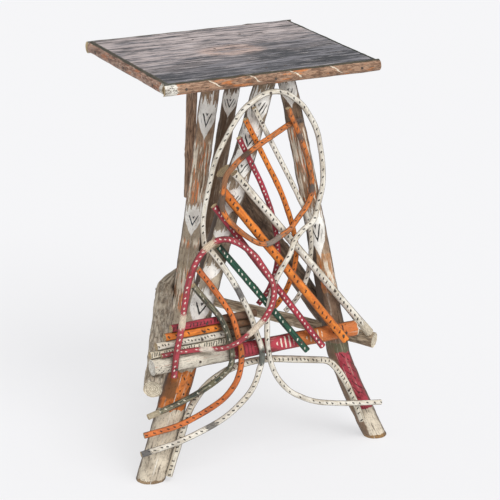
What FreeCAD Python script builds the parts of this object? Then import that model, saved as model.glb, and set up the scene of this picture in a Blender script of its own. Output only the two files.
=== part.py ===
# Bentwood side table: a small board top on a tripod of natural poles, with a
# nailed lattice of straight and bent twigs across the front.
# Millimetres, +Z up, +X to the right along the front edge, +Y to the back.
# The origin is on the floor, under the middle of the whole outline.

import FreeCAD, Part
import Sketcher
import math
import os

V = FreeCAD.Vector
DOC = FreeCAD.newDocument("bentwood_side_table")
SHEET = DOC.addObject("Spreadsheet::Sheet", "Sizes")

# Driving dimensions
SIZES = {
    "table_height": 737,
    "top_width": 419,
    "top_depth": 364,
    "top_shift_side": 9.5,
    "top_shift_back": 19.5,
    "board_thickness": 18,
    "trim_height": 22,
    "leg_setback": 38,
    "foot_spread": 460.5,
    "apex_shift": 19,
    "head_gap": 2,
    "left_foot_dia": 55,
    "left_head_dia": 38,
    "right_foot_dia": 46,
    "right_head_dia": 32,
    "right_leg_bow": 32,
    "rear_foot_dia": 42,
    "rear_head_dia": 33,
    "rear_foot_side": -63.5,
    "rear_foot_back": 156,
    "rear_head_side": -21.5,
    "rear_head_back": 23,
    "left_post_dia": 20,
    "left_post_lean": 10,
    "right_post_dia": 30,
    "right_post_head_side": 68.5,
    "right_post_setback": 75,
    "brace_dia": 34,
    "brace_overhang": 10,
    "brace_clearance": 40,
    "stretcher_dia": 29,
    "stretcher_rise": 6,
    "left_stretcher_dia": 33,
    "left_stretcher_inset": 3,
    "left_stretcher_reach": 18,
    "left_stretcher_overhang": 8,
    "right_stretcher_dia": 26,
    "right_stretcher_rear_dia": 18,
    "right_stretcher_reach": 63,
    "right_stretcher_overhang": 24,
    "ledge_rail_dia": 14,
    "loop_dia": 10,
    "red_arch_dia": 12,
    "ring_dia": 10,
    "low_arch_dia": 13,
    "tail_dia": 11,
    "upper_white_dia": 9,
    "upper_orange_dia": 10,
    "upper_red_dia": 10,
    "long_white_dia": 14,
    "long_orange_dia": 16,
    "long_red_dia": 12,
    "long_green_dia": 12,
    "contact_gap": 0.3,
    "nail_dia": 2,
    "nail_head_dia": 4.6,
    "nail_head_thickness": 1,
    "nail_grip": 14,
    "trim_nail_inset": 40,
    "post_nail_rise": 16,
}

# Sizes that follow from others: the frame's heights keep their share of the
# table's height, the right post its distance from the back edge, and the two
# front legs stand side by side at their heads
DERIVED = {
    "apex_gap": "=(left_head_dia + right_head_dia) / 2 + head_gap",
    "right_post_head_back": "=top_depth / 2 - right_post_setback",
    "left_post_height": "=0.383 * table_height",
    "right_post_height": "=0.528 * table_height",
    "stretcher_height": "=0.3134 * table_height",
    "left_stretcher_rear_height": "=0.34 * table_height",
    "right_stretcher_front_height": "=0.281 * table_height",
    "right_stretcher_rear_height": "=0.312 * table_height",
}
for row, (alias, value) in enumerate({**SIZES, **DERIVED}.items(), start=1):
    SHEET.set(f"A{row}", alias)
    SHEET.set(f"B{row}", str(value))
    SHEET.setAlias(f"B{row}", alias)
DOC.recompute()


def size(alias):
    return float(SHEET.get(alias))


GAP = size("contact_gap")
UNDERSIDE = size("table_height") - size("board_thickness")
TOP_MIDDLE = V(size("top_shift_side"), size("top_shift_back"), 0)
LEG_LINE = -size("top_depth") / 2 + size("leg_setback")

# Share of the shorter run that each corner's arc takes
ARC_SHARE = 0.45

# Share up a bowed pole at which its bow is greatest
BOW_UP = 0.26

# Largest lean from upright of the low arch's two sides, in degrees
ARCH_LEAN = 28


def placed(point):
    """A point measured from under the middle of the top, in the part's frame."""
    return TOP_MIDDLE + point


class Pole:
    """A tapered pole between two heights, cut level at both ends, with a sideways bow low down."""

    STRAIGHT = (0, 0.5, 1)
    BOWED = tuple(step / 10 for step in range(11))

    def __init__(self, foot, head, foot_dia, head_dia, bow=0):
        self.foot = foot
        self.head = head
        self.dia = (foot_dia, head_dia)
        self.bow = bow

    def chord(self, up):
        return self.foot + (self.head - self.foot) * up

    def at(self, up):
        if up < BOW_UP:
            share = 1 - (1 - up / BOW_UP) ** 1.3
        else:
            share = ((1 - up) / (1 - BOW_UP)) ** 1.25
        return self.chord(up) - V(self.bow * share, 0, 0)

    def at_height(self, height):
        return self.at(self.share(height))

    def share(self, height):
        return (height - self.foot.z) / (self.head.z - self.foot.z)

    def radius(self, up):
        return (size(self.dia[0]) * (1 - up) + size(self.dia[1]) * up) / 2

    def axis(self, rise):
        """The axis from a given rise above the foot to the head."""
        if self.bow:
            return Part.makePolygon([self.at(step / 24) for step in range(25)])
        return Part.LineSegment(self.at_height(self.foot.z + rise), self.head).toShape()


HALF_SPREAD = size("foot_spread") / 2
APEX_LEFT = size("apex_shift") - size("apex_gap") / 2
APEX_RIGHT = size("apex_shift") + size("apex_gap") / 2
LEFT = Pole(placed(V(-HALF_SPREAD, LEG_LINE, 0)), placed(V(APEX_LEFT, LEG_LINE, UNDERSIDE)),
            "left_foot_dia", "left_head_dia")
RIGHT = Pole(placed(V(HALF_SPREAD, LEG_LINE, 0)), placed(V(APEX_RIGHT, LEG_LINE, UNDERSIDE)),
             "right_foot_dia", "right_head_dia", size("right_leg_bow"))
REAR = Pole(placed(V(size("rear_foot_side"), size("rear_foot_back"), 0)),
            placed(V(size("rear_head_side"), size("rear_head_back"), UNDERSIDE)),
            "rear_foot_dia", "rear_head_dia")

# The axis of each stick and its radius at a point, for the nails, and each
# sub-part's last object
AXES = {}
REACH = {}
PARTS = {}


# Poles and sticks
def add_pole(label, pole, nail_rise=0):
    """A pole as a loft through level circles from its foot to its head."""
    circles = []
    for up in pole.BOWED if pole.bow else pole.STRAIGHT:
        circle = DOC.addObject("Part::Circle", f"{label}_section")
        circle.setExpression("Radius", f"(Sizes.{pole.dia[0]} * {1 - up} + Sizes.{pole.dia[1]} * {up}) / 2")
        circle.Placement.Base = pole.at(up)
        circles.append(circle)
    loft = DOC.addObject("Part::Loft", label)
    loft.Sections = circles
    loft.Solid = True
    PARTS[label] = loft
    AXES[label] = pole.axis(nail_rise)
    REACH[label] = lambda point: pole.radius(pole.share(point.z))


def add_stick(label, start, end, dia):
    """A straight round stick, sawn square at both ends."""
    stick = DOC.addObject("Part::Cylinder", label)
    stick.setExpression("Radius", f"Sizes.{dia} / 2")
    stick.Height = (end - start).Length
    stick.Placement = FreeCAD.Placement(start, FreeCAD.Rotation(V(0, 0, 1), end - start))
    PARTS[label] = stick
    AXES[label] = Part.LineSegment(start, end).toShape()
    REACH[label] = lambda point: size(dia) / 2


def add_tapered_stick(label, start, end, start_dia, end_dia):
    """A straight round stick that grows from its start to its end."""
    stick = DOC.addObject("Part::Cone", label)
    stick.setExpression("Radius1", f"Sizes.{start_dia} / 2")
    stick.setExpression("Radius2", f"Sizes.{end_dia} / 2")
    stick.Height = (end - start).Length
    stick.Placement = FreeCAD.Placement(start, FreeCAD.Rotation(V(0, 0, 1), end - start))
    length = (end - start).Length
    growth = (size(end_dia) - size(start_dia)) / length
    PARTS[label] = stick
    AXES[label] = Part.LineSegment(start, end).toShape()
    REACH[label] = lambda point: (size(start_dia) + growth * (point - start).Length) / 2


def rounded_path(points):
    """Straight runs through the points, joined by tangent arcs as large as the runs allow."""
    edges = []
    start = points[0]
    for before, corner, after in zip(points, points[1:], points[2:]):
        run_in = corner - before
        run_out = after - corner
        reach = ARC_SHARE * min(run_in.Length, run_out.Length)
        turn = run_in.getAngle(run_out)
        ahead_in = run_in / run_in.Length
        ahead_out = run_out / run_out.Length
        inward = ahead_out - ahead_in
        inward = inward / inward.Length
        radius = reach / math.tan(turn / 2)
        begin = corner - ahead_in * reach
        middle = corner + inward * (radius / math.cos(turn / 2) - radius)
        finish = corner + ahead_out * reach
        edges.append(Part.LineSegment(start, begin).toShape())
        edges.append(Part.Arc(begin, middle, finish).toShape())
        start = finish
    edges.append(Part.LineSegment(start, points[-1]).toShape())
    return Part.Wire(edges)


def add_twig(label, points, dia):
    """A bent twig: a round section swept along a rounded path."""
    wire = rounded_path(points)
    spine = DOC.addObject("Part::Feature", f"{label}_line")
    spine.Shape = wire
    section = DOC.addObject("Part::Circle", f"{label}_section")
    section.setExpression("Radius", f"Sizes.{dia} / 2")
    section.Placement = FreeCAD.Placement(points[0], FreeCAD.Rotation(V(0, 0, 1), points[1] - points[0]))
    twig = DOC.addObject("Part::Sweep", label)
    twig.Sections = [section]
    twig.Spine = (spine, [f"Edge{number}" for number in range(1, len(wire.Edges) + 1)])
    twig.Solid = True
    twig.Frenet = False
    PARTS[label] = twig
    AXES[label] = wire
    REACH[label] = lambda point: size(dia) / 2


# The front frame's own coordinates: a share across from the left leg to the
# right leg, a share up the legs, and a distance out in front of their plane
def front_point(across, up, out):
    left = LEFT.chord(up)
    return left + (RIGHT.chord(up) - left) * across - V(0, out, 0)


def front_route(*places):
    """Points on the front; a depth left open is shared out between its neighbours."""
    flat = [front_point(across, up, 0) for across, up, out in places]
    along = [0]
    for before, after in zip(flat, flat[1:]):
        along.append(along[-1] + (after - before).Length)
    known = [number for number, place in enumerate(places) if place[2] is not None]
    route = []
    for number, (across, up, out) in enumerate(places):
        if out is None:
            before = max(other for other in known if other < number)
            after = min(other for other in known if other > number)
            share = (along[number] - along[before]) / (along[after] - along[before])
            out = places[before][2] + (places[after][2] - places[before][2]) * share
        route.append(front_point(across, up, out))
    return route


def layers(*between):
    """The depth of the sticks that lie between two others, with their clearances."""
    return GAP + sum(size(other) + GAP for other in between)


def on_leg(leg, up, dia, *between):
    """How far out a stick's axis lies when it rests on a leg, with other sticks between."""
    return leg.radius(up) + layers(*between) + size(dia) / 2


def beside_leg(leg, across, up, dia):
    """How far out a leaning stick's axis lies when it rests on a leg, off the leg's middle."""
    aside = front_point(across, up, 0).x - leg.at(up).x
    touch = leg.radius(up) + GAP + size(dia) / 2 / math.cos(math.radians(ARCH_LEAN))
    return math.sqrt(touch ** 2 - aside ** 2)


def aside_pole(pole, height, run, dia):
    """The level way from a pole's axis to the axis of a stick that touches its side."""
    across_run = V(run.y, -run.x, 0).normalize()
    normal = run.cross(pole.head - pole.foot).normalize()
    touch = pole.radius(pole.share(height)) * math.hypot(normal.x, normal.y) + GAP + size(dia) / 2
    return across_run * (touch / abs(across_run.dot(normal)))


add_pole("front_left_leg", LEFT)
add_pole("front_right_leg", RIGHT)
add_pole("rear_leg", REAR)

# Two posts that lean on the rear leg and carry the back of the board
left_post_foot = UNDERSIDE - size("left_post_height")
left_post_side = REAR.at_height(left_post_foot)
left_post_clear = REAR.radius(REAR.share(left_post_foot)) + size("left_post_dia") / 2 + GAP
LEFT_POST = Pole(left_post_side + V(0, left_post_clear, 0),
                 V(left_post_side.x + size("left_post_lean"), left_post_side.y + left_post_clear, UNDERSIDE),
                 "left_post_dia", "left_post_dia")
add_pole("rear_left_post", LEFT_POST, size("post_nail_rise"))

right_post_foot = UNDERSIDE - size("right_post_height")
right_post_side = REAR.at_height(right_post_foot)
right_post_clear = REAR.radius(REAR.share(right_post_foot)) + size("right_post_dia") / 2 + GAP
RIGHT_POST = Pole(right_post_side + V(right_post_clear, 0, 0),
                  placed(V(size("right_post_head_side"), size("right_post_head_back"), UNDERSIDE)),
                  "right_post_dia", "right_post_dia")
add_pole("rear_right_post", RIGHT_POST, size("post_nail_rise"))

# The brace behind the two front legs, clear of the right stretcher's end
BRACE_UP = (0.75, (size("right_stretcher_front_height") + size("brace_clearance")) / UNDERSIDE)
brace_ends = [leg.at(up) + V(0, on_leg(leg, up, "brace_dia"), 0)
              for leg, up in zip((LEFT, RIGHT), BRACE_UP)]
brace_ahead = (brace_ends[1] - brace_ends[0]).normalize() * size("brace_overhang")
add_stick("diagonal_brace", brace_ends[0] - brace_ahead, brace_ends[1] + brace_ahead, "brace_dia")

# The front stretcher lies on the front of both front legs
STRETCHER_ACROSS = (-0.268, 0.998)
stretcher_up = (size("stretcher_height") / UNDERSIDE,
                (size("stretcher_height") + size("stretcher_rise")) / UNDERSIDE)
leg_outs = [on_leg(leg, up, "stretcher_dia") for leg, up in zip((LEFT, RIGHT), stretcher_up)]
stretcher_out = [leg_outs[0] + (leg_outs[1] - leg_outs[0]) * across for across in STRETCHER_ACROSS]
STRETCHER = [front_point(across, up, out)
             for across, up, out in zip(STRETCHER_ACROSS, stretcher_up, stretcher_out)]
stretcher_run = (STRETCHER[1] - STRETCHER[0]).normalize()
add_stick("front_stretcher", STRETCHER[0], STRETCHER[1], "stretcher_dia")


def on_stretcher(dia, *between):
    """How far out a stick's axis lies when it rests on the front of the stretcher."""
    return max(stretcher_out) + size("stretcher_dia") / 2 + layers(*between) + size(dia) / 2


# The side stretchers run from the rear leg to the front; the left one carries
# the front stretcher's end and the right one passes the right leg
left_seat = STRETCHER[0] + stretcher_run * size("left_stretcher_inset")
left_rear_axis = REAR.at_height(size("left_stretcher_rear_height"))
left_drop = (size("stretcher_dia") + size("left_stretcher_dia")) / 2 + GAP
left_level = (left_seat - V(0, 0, left_drop) - left_rear_axis).normalize()
left_front = left_seat - V(0, 0, left_drop / abs(stretcher_run.cross(left_level).normalize().z))
left_rear = left_rear_axis + aside_pole(REAR, left_rear_axis.z, left_front - left_rear_axis,
                                        "left_stretcher_dia")
left_run = (left_front - left_rear).normalize()
add_stick("left_stretcher", left_rear - left_run * size("left_stretcher_overhang"),
          left_front + left_run * size("left_stretcher_reach"), "left_stretcher_dia")

right_front_axis = RIGHT.at_height(size("right_stretcher_front_height"))
right_rear_axis = REAR.at_height(size("right_stretcher_rear_height"))
right_ends = [axis - aside_pole(pole, axis.z, right_front_axis - right_rear_axis, dia)
              for pole, axis, dia in ((REAR, right_rear_axis, "right_stretcher_rear_dia"),
                                      (RIGHT, right_front_axis, "right_stretcher_dia"))]
right_run = (right_ends[1] - right_ends[0]).normalize()
add_tapered_stick("right_stretcher", right_ends[0] - right_run * size("right_stretcher_overhang"),
                  right_ends[1] + right_run * size("right_stretcher_reach"),
                  "right_stretcher_rear_dia", "right_stretcher_dia")

# Four thin rails stacked on the left half of the front stretcher
LEDGE_ENDS = {
    "cream_ledge_rail": (0.00, 0.50),
    "white_ledge_rail": (0.03, 0.51),
    "orange_ledge_rail": (0.07, 0.50),
    "red_ledge_rail": (0.10, 0.51),
}
ledge_out = on_leg(LEFT, stretcher_up[0], "ledge_rail_dia")
ledge_step = size("ledge_rail_dia") + GAP
ledge_reach = (size("stretcher_dia") + size("ledge_rail_dia")) / 2 + GAP
ledge_back = leg_outs[0] - ledge_out
ledge_up = math.sqrt(ledge_reach ** 2 - ledge_back ** 2)
LEDGE_UP = stretcher_up[0] + ledge_up / UNDERSIDE
for layer, (label, ends) in enumerate(LEDGE_ENDS.items()):
    lift = V(0, ledge_back, ledge_up + layer * ledge_step)
    start, end = [STRETCHER[0] + (STRETCHER[1] - STRETCHER[0]) * share + lift for share in ends]
    add_stick(label, start, end, "ledge_rail_dia")


def on_ledge(dia, *between):
    """How far out a stick's axis lies when it rests on the stacked rails."""
    left_end_out = ledge_out + stretcher_out[0] - leg_outs[0]
    return left_end_out + size("ledge_rail_dia") / 2 + layers(*between) + size(dia) / 2


# The straight slats, which fan out from the front of the left leg; each lies
# at a given depth at two heights
SLATS = {}


def slat_out(label, up):
    dia, upper, lower = SLATS[label]
    return upper[1] + (lower[1] - upper[1]) * (up - upper[0]) / (lower[0] - upper[0])


def over_slat(label, up, dia, *between):
    """How far out a twig's axis lies when it crosses in front of a slat."""
    return slat_out(label, up) + size(SLATS[label][0]) / 2 + layers(*between) + size(dia) / 2


def under_slat(label, up, dia):
    """How far out a twig's axis lies when it passes behind a slat."""
    return slat_out(label, up) - size(SLATS[label][0]) / 2 - GAP - size(dia) / 2


def add_slat(label, dia, head, tail, upper, lower):
    SLATS[label] = (dia, upper, lower)
    ends = [front_point(across, up, slat_out(label, up)) for across, up in (head, tail)]
    add_stick(label, ends[0], ends[1], dia)


STRETCHER_UP = sum(stretcher_up) / 2
LONG_WHITE_OUT = on_leg(LEFT, 0.74, "long_white_dia")
add_slat("long_white_slat", "long_white_dia", (-0.210, 0.784), (1.087, 0.304),
         (0.745, LONG_WHITE_OUT), (0.405, on_leg(RIGHT, 0.4, "long_white_dia")))
for label, dia, head, tail, contact in (
        ("long_orange_slat", "long_orange_dia", (-0.266, 0.743), (0.882, 0.318), 0.694),
        ("long_red_slat", "long_red_dia", (-0.280, 0.705), (0.739, 0.311), 0.647),
        ("long_green_slat", "long_green_dia", (-0.081, 0.604), (0.642, 0.308), 0.587)):
    add_slat(label, dia, head, tail, (contact, on_leg(LEFT, contact, dia)),
             (STRETCHER_UP, on_stretcher(dia)))

# Three thin twigs start like slats, pass behind the long white slat and bend
# back to the left above the stretcher
def add_bent_slat(label, dia, contact, crossing, places):
    behind = under_slat("long_white_slat", crossing, dia)
    SLATS[label] = (dia, (contact, on_leg(LEFT, contact, dia)), (crossing, behind))
    add_twig(label, [front_point(across, up, slat_out(label, max(up, crossing))) for across, up in places], dia)


add_bent_slat("upper_red_twig", "upper_red_dia", 0.803, 0.676, (
    (-0.430, 0.872), (0.295, 0.735), (0.434, 0.674), (0.501, 0.614), (0.528, 0.565), (0.518, 0.513),
    (0.461, 0.458), (0.386, 0.426)))
add_bent_slat("upper_orange_twig", "upper_orange_dia", 0.853, 0.600, (
    (-0.485, 0.915), (0.539, 0.716), (0.649, 0.640), (0.684, 0.593), (0.693, 0.552), (0.665, 0.506),
    (0.604, 0.458), (0.537, 0.422), (0.468, 0.400)))
add_bent_slat("upper_white_twig", "upper_white_dia", 0.900, 0.545, (
    (-0.370, 0.940), (0.667, 0.740), (0.812, 0.655), (0.839, 0.616), (0.832, 0.573), (0.806, 0.528),
    (0.765, 0.484), (0.716, 0.449), (0.659, 0.420), (0.579, 0.395)))

# The low arch springs from the feet and passes under the stretcher
ARCH = "low_arch_dia"
ARCH_UP = (size("stretcher_height") - (size("stretcher_dia") + size(ARCH)) / 2 - GAP) / UNDERSIDE
add_twig("low_arch", front_route(
    (0.040, 0.016, beside_leg(LEFT, 0.040, 0.016, ARCH)), (0.052, 0.105, beside_leg(LEFT, 0.052, 0.105, ARCH)),
    (0.063, 0.186, beside_leg(LEFT, 0.063, 0.186, ARCH)), (0.114, 0.242, None), (0.234, 0.280, None),
    (0.412, ARCH_UP, leg_outs[1]), (0.818, 0.249, None), (0.867, 0.209, None),
    (0.893, 0.174, beside_leg(RIGHT, 0.893, 0.174, ARCH)), (0.915, 0.124, beside_leg(RIGHT, 0.915, 0.124, ARCH)),
    (0.934, 0.062, beside_leg(RIGHT, 0.937, 0.062, ARCH))), ARCH)

# Three twigs that start on the left leg, bend down over the stacked rails and
# the stretcher, and come back across the left leg
TAIL = "tail_dia"
OVER_ARCH = max(beside_leg(LEFT, 0.052, 0.105, ARCH), beside_leg(LEFT, 0.063, 0.186, ARCH)) \
    + size(ARCH) / 2 + GAP + size(TAIL) / 2
WHITE_TAIL_HEAD = on_leg(LEFT, 0.603, TAIL)
add_twig("white_tail_twig", front_route(
    (-0.170, 0.603, WHITE_TAIL_HEAD), (0.015, 0.552, on_leg(LEFT, 0.552, TAIL)), (0.151, 0.499, None),
    (0.287, 0.419, on_ledge(TAIL)), (0.325, 0.375, None), (0.364, 0.335, on_stretcher(TAIL)),
    (0.373, 0.300, on_stretcher(TAIL)), (0.351, 0.222, None), (0.241, 0.157, None), (0.121, 0.124, OVER_ARCH),
    (0.022, 0.108, OVER_ARCH), (-0.127, 0.091, on_leg(LEFT, 0.1, TAIL))), TAIL)
add_twig("orange_tail_twig", front_route(
    (-0.203, 0.554, on_leg(LEFT, 0.5, TAIL)), (0.002, 0.493, on_leg(LEFT, 0.49, TAIL)),
    (0.158, 0.425, on_ledge(TAIL)), (0.206, 0.376, None), (0.235, 0.338, on_stretcher(TAIL)),
    (0.249, 0.300, on_stretcher(TAIL)), (0.253, 0.255, None), (0.212, 0.210, None), (0.132, 0.178, OVER_ARCH),
    (0.013, 0.153, OVER_ARCH), (-0.146, 0.140, on_leg(LEFT, 0.14, TAIL))), TAIL)
add_twig("olive_tail_twig", front_route(
    (-0.185, 0.512, on_leg(LEFT, 0.46, TAIL)), (-0.009, 0.457, on_leg(LEFT, 0.45, TAIL)),
    (0.069, 0.428, on_ledge(TAIL)), (0.132, 0.390, None), (0.180, 0.335, on_stretcher(TAIL)),
    (0.192, 0.300, on_stretcher(TAIL)), (0.150, 0.268, None), (0.080, 0.234, OVER_ARCH),
    (0.000, 0.211, on_leg(LEFT, 0.21, TAIL)), (-0.160, 0.187, on_leg(LEFT, 0.19, TAIL))), TAIL)

# The ring hangs on the right leg and closes over its own straight end
RING = "ring_dia"
RING_CLOSE = on_leg(RIGHT, 0.9, RING, RING)
RING_OVER = max(over_slat("upper_white_twig", 0.87, RING), over_slat("upper_orange_twig", 0.85, RING),
                over_slat("upper_red_twig", 0.84, RING))
add_twig("orange_ring", front_route(
    (1.030, 0.893, on_leg(RIGHT, 0.89, RING)), (0.709, 0.885, on_leg(RIGHT, 0.89, RING)),
    (0.214, 0.866, RING_OVER), (-0.055, 0.844, RING_OVER), (-0.187, 0.829, RING_OVER),
    (-0.294, 0.811, RING_OVER), (-0.370, 0.785, None),
    (-0.332, 0.762, over_slat("long_orange_slat", 0.73, RING)),
    (-0.277, 0.728, over_slat("long_orange_slat", 0.72, RING)),
    (-0.211, 0.700, over_slat("long_red_slat", 0.68, RING)),
    (-0.105, 0.672, over_slat("long_red_slat", 0.64, RING)), (0.041, 0.642, over_slat("long_red_slat", 0.62, RING)),
    (0.158, 0.620, None), (0.256, 0.604, over_slat("long_orange_slat", 0.59, RING)),
    (0.355, 0.600, over_slat("long_orange_slat", 0.59, RING)),
    (0.514, 0.613, over_slat("long_white_slat", 0.61, RING)),
    (0.594, 0.625, over_slat("long_white_slat", 0.61, RING)),
    (0.714, 0.648, over_slat("upper_white_twig", 0.661, RING)),
    (0.805, 0.669, over_slat("upper_white_twig", 0.661, RING)), (0.896, 0.698, None),
    (0.951, 0.745, on_leg(RIGHT, 0.74, RING)), (0.947, 0.790, on_leg(RIGHT, 0.74, RING)), (0.904, 0.829, None),
    (0.783, 0.889, RING_CLOSE), (0.694, 0.912, RING_CLOSE), (0.635, 0.931, RING_CLOSE)), RING)

# The white loop runs behind the slats on the left, over the tops of both
# legs, and down across the front to the right foot
LOOP = "loop_dia"
BEHIND_RED = under_slat("long_red_slat", 0.715, LOOP)
LOOP_OVER_ARCH = beside_leg(RIGHT, 0.915, 0.124, ARCH) + size(ARCH) / 2 + GAP + size(LOOP) / 2
add_twig("white_loop", front_route(
    (-0.180, 0.602, WHITE_TAIL_HEAD - (size(TAIL) + size(LOOP)) / 2 - GAP), (-0.255, 0.643, None),
    (-0.314, 0.684, BEHIND_RED), (-0.392, 0.740, BEHIND_RED), (-0.561, 0.815, None), (-0.650, 0.885, None),
    (-0.689, 0.941, on_leg(LEFT, 0.95, LOOP)), (-0.236, 0.969, on_leg(LEFT, 0.95, LOOP)),
    (0.145, 0.974, on_leg(LEFT, 0.95, LOOP)), (0.574, 0.968, None), (0.862, 0.956, on_leg(RIGHT, 0.91, LOOP)),
    (1.157, 0.928, on_leg(RIGHT, 0.91, LOOP)), (1.277, 0.865, None), (1.160, 0.781, on_leg(RIGHT, 0.70, LOOP)),
    (1.072, 0.721, on_leg(RIGHT, 0.66, LOOP)), (0.965, 0.676, on_leg(RIGHT, 0.66, LOOP)), (0.849, 0.631, None),
    (0.712, 0.618, over_slat("long_white_slat", 0.6, LOOP)),
    (0.622, 0.594, over_slat("long_white_slat", 0.6, LOOP)),
    (0.541, 0.565, over_slat("long_orange_slat", 0.54, LOOP)),
    (0.470, 0.535, over_slat("long_orange_slat", 0.53, LOOP)),
    (0.409, 0.495, over_slat("long_red_slat", 0.47, LOOP)), (0.377, 0.431, over_slat("long_green_slat", 0.43, LOOP)),
    (0.394, 0.345, on_stretcher(LOOP)), (0.422, 0.295, on_stretcher(LOOP)), (0.471, 0.247, None),
    (0.549, 0.199, None), (0.678, 0.154, None), (0.836, 0.128, LOOP_OVER_ARCH), (1.034, 0.111, LOOP_OVER_ARCH)),
    LOOP)

# The red arch lies in front of everything and closes over its own left end
RED = "red_arch_dia"
OVER_LOOP = over_slat("long_green_slat", 0.43, RED, LOOP)
OVER_TAILS = on_stretcher(RED, TAIL)
OVER_WHITE_TAIL = on_leg(LEFT, 0.603, RED, TAIL)
add_twig("red_arch", front_route(
    (-0.143, 0.298, on_stretcher(RED)), (-0.181, 0.355, on_stretcher(RED)), (-0.208, 0.425, None),
    (-0.246, 0.482, None), (-0.283, 0.531, None), (-0.280, 0.586, None), (-0.199, 0.618, OVER_WHITE_TAIL),
    (-0.069, 0.626, OVER_WHITE_TAIL), (0.088, 0.609, over_slat("long_red_slat", 0.6, RED)), (0.244, 0.574, None),
    (0.322, 0.540, over_slat("long_red_slat", 0.52, RED)), (0.380, 0.508, OVER_LOOP), (0.398, 0.475, OVER_LOOP),
    (0.387, 0.448, OVER_LOOP), (0.346, 0.418, OVER_LOOP), (0.266, 0.389, OVER_TAILS), (0.176, 0.366, OVER_TAILS),
    (0.097, 0.358, OVER_TAILS), (-0.052, LEDGE_UP + 0.004, on_ledge(RED)),
    (-0.251, LEDGE_UP + 0.002, on_ledge(RED))), RED)


# The top: a board with a half-round split branch along each edge
trim_depth = size("trim_height") / 2
board = DOC.addObject("Part::Box", "top_board")
board.setExpression("Length", "Sizes.top_width - Sizes.trim_height")
board.setExpression("Width", "Sizes.top_depth - Sizes.trim_height")
board.setExpression("Height", "Sizes.board_thickness")
board.Placement.Base = placed(V(trim_depth - size("top_width") / 2, trim_depth - size("top_depth") / 2,
                                UNDERSIDE))
PARTS["top_board"] = board


def origin_plane(body, role):
    return next(feature for feature in body.Origin.OriginFeatures if feature.Role == role)


def add_trim(label, length, corner, along, outward):
    """A half-round strip: a half disc padded along the edge, flat against the board."""
    body = DOC.addObject("PartDesign::Body", label)
    sketch = body.newObject("Sketcher::SketchObject", f"{label}_section")
    sketch.AttachmentSupport = [(origin_plane(body, "XY_Plane"), "")]
    sketch.MapMode = "FlatFace"
    round_face = Part.ArcOfCircle(Part.Circle(V(0, 0, 0), V(0, 0, 1), trim_depth), -math.pi / 2, math.pi / 2)
    arc = sketch.addGeometry(round_face)
    flat = sketch.addGeometry(Part.LineSegment(V(0, trim_depth, 0), V(0, -trim_depth, 0)))
    sketch.addConstraint(Sketcher.Constraint("Coincident", arc, 2, flat, 1))
    sketch.addConstraint(Sketcher.Constraint("Coincident", arc, 1, flat, 2))
    sketch.addConstraint(Sketcher.Constraint("Coincident", arc, 3, -1, 1))
    sketch.addConstraint(Sketcher.Constraint("PointOnObject", flat, 1, -2))
    sketch.addConstraint(Sketcher.Constraint("PointOnObject", flat, 2, -2))
    radius = sketch.addConstraint(Sketcher.Constraint("Radius", arc, trim_depth))
    sketch.setExpression(f"Constraints[{radius}]", "Sizes.trim_height / 2")
    pad = body.newObject("PartDesign::Pad", f"{label}_pad")
    pad.Profile = sketch
    pad.setExpression("Length", length)
    turn = FreeCAD.Rotation(outward, along.cross(outward), along, "ZXY")
    body.Placement = FreeCAD.Placement(corner, turn)
    PARTS[label] = body


half_width = size("top_width") / 2
half_depth = size("top_depth") / 2
trim_middle = size("table_height") - trim_depth
X_AXIS = V(1, 0, 0)
Y_AXIS = V(0, 1, 0)
side_length = size("top_depth") - size("trim_height")
front_corner = placed(V(-half_width, trim_depth - half_depth, trim_middle))
back_corner = placed(V(-half_width, half_depth - trim_depth, trim_middle))
left_corner = placed(V(trim_depth - half_width, trim_depth - half_depth, trim_middle))
right_corner = placed(V(half_width - trim_depth, trim_depth - half_depth, trim_middle))
TRIMS = {
    "front_trim": (size("top_width"), front_corner, X_AXIS, -Y_AXIS),
    "back_trim": (size("top_width"), back_corner, X_AXIS, Y_AXIS),
    "left_trim": (side_length, left_corner, Y_AXIS, -X_AXIS),
    "right_trim": (side_length, right_corner, Y_AXIS, X_AXIS),
}
LENGTHS = {
    "front_trim": "Sizes.top_width",
    "back_trim": "Sizes.top_width",
    "left_trim": "Sizes.top_depth - Sizes.trim_height",
    "right_trim": "Sizes.top_depth - Sizes.trim_height",
}
for label, (_, corner, along, outward) in TRIMS.items():
    add_trim(label, LENGTHS[label], corner, along, outward)


# Nails: a shank with a flat round head, in groups by what they hold
def add_nail(name, seat, inward, length):
    """A nail whose head lies on a seat point and whose shank runs inward from it."""
    turn = FreeCAD.Rotation(V(0, 0, 1), inward)
    head = DOC.addObject("Part::Cylinder", f"{name}_head")
    head.setExpression("Radius", "Sizes.nail_head_dia / 2")
    head.setExpression("Height", "Sizes.nail_head_thickness")
    head.Placement = FreeCAD.Placement(seat - inward * size("nail_head_thickness"), turn)
    shank = DOC.addObject("Part::Cylinder", f"{name}_shank")
    shank.setExpression("Radius", "Sizes.nail_dia / 2")
    shank.Height = length
    shank.Placement = FreeCAD.Placement(seat, turn)
    nail = DOC.addObject("Part::Fuse", name)
    nail.Base = head
    nail.Tool = shank
    return nail


def cut_by(label, tool):
    blank = PARTS[label]
    blank.Label = f"{label}_blank"
    cut = DOC.addObject("Part::Cut", f"{label}_cut")
    cut.Base = blank
    cut.Tool = tool
    cut.Refine = False
    cut.Label = label
    PARTS[label] = cut


def add_group(label, nails):
    """One group of nails, and the holes that each nail leaves in the pieces that it holds."""
    group = DOC.addObject("Part::Compound", label)
    group.Links = [nail for nail, woods in nails]
    PARTS[label] = group
    for wood in dict.fromkeys(wood for nail, woods in nails for wood in woods):
        holes = DOC.addObject("Part::Compound", f"{wood}_holes")
        holes.Links = [nail for nail, woods in nails if wood in woods]
        cut_by(wood, holes)


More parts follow.
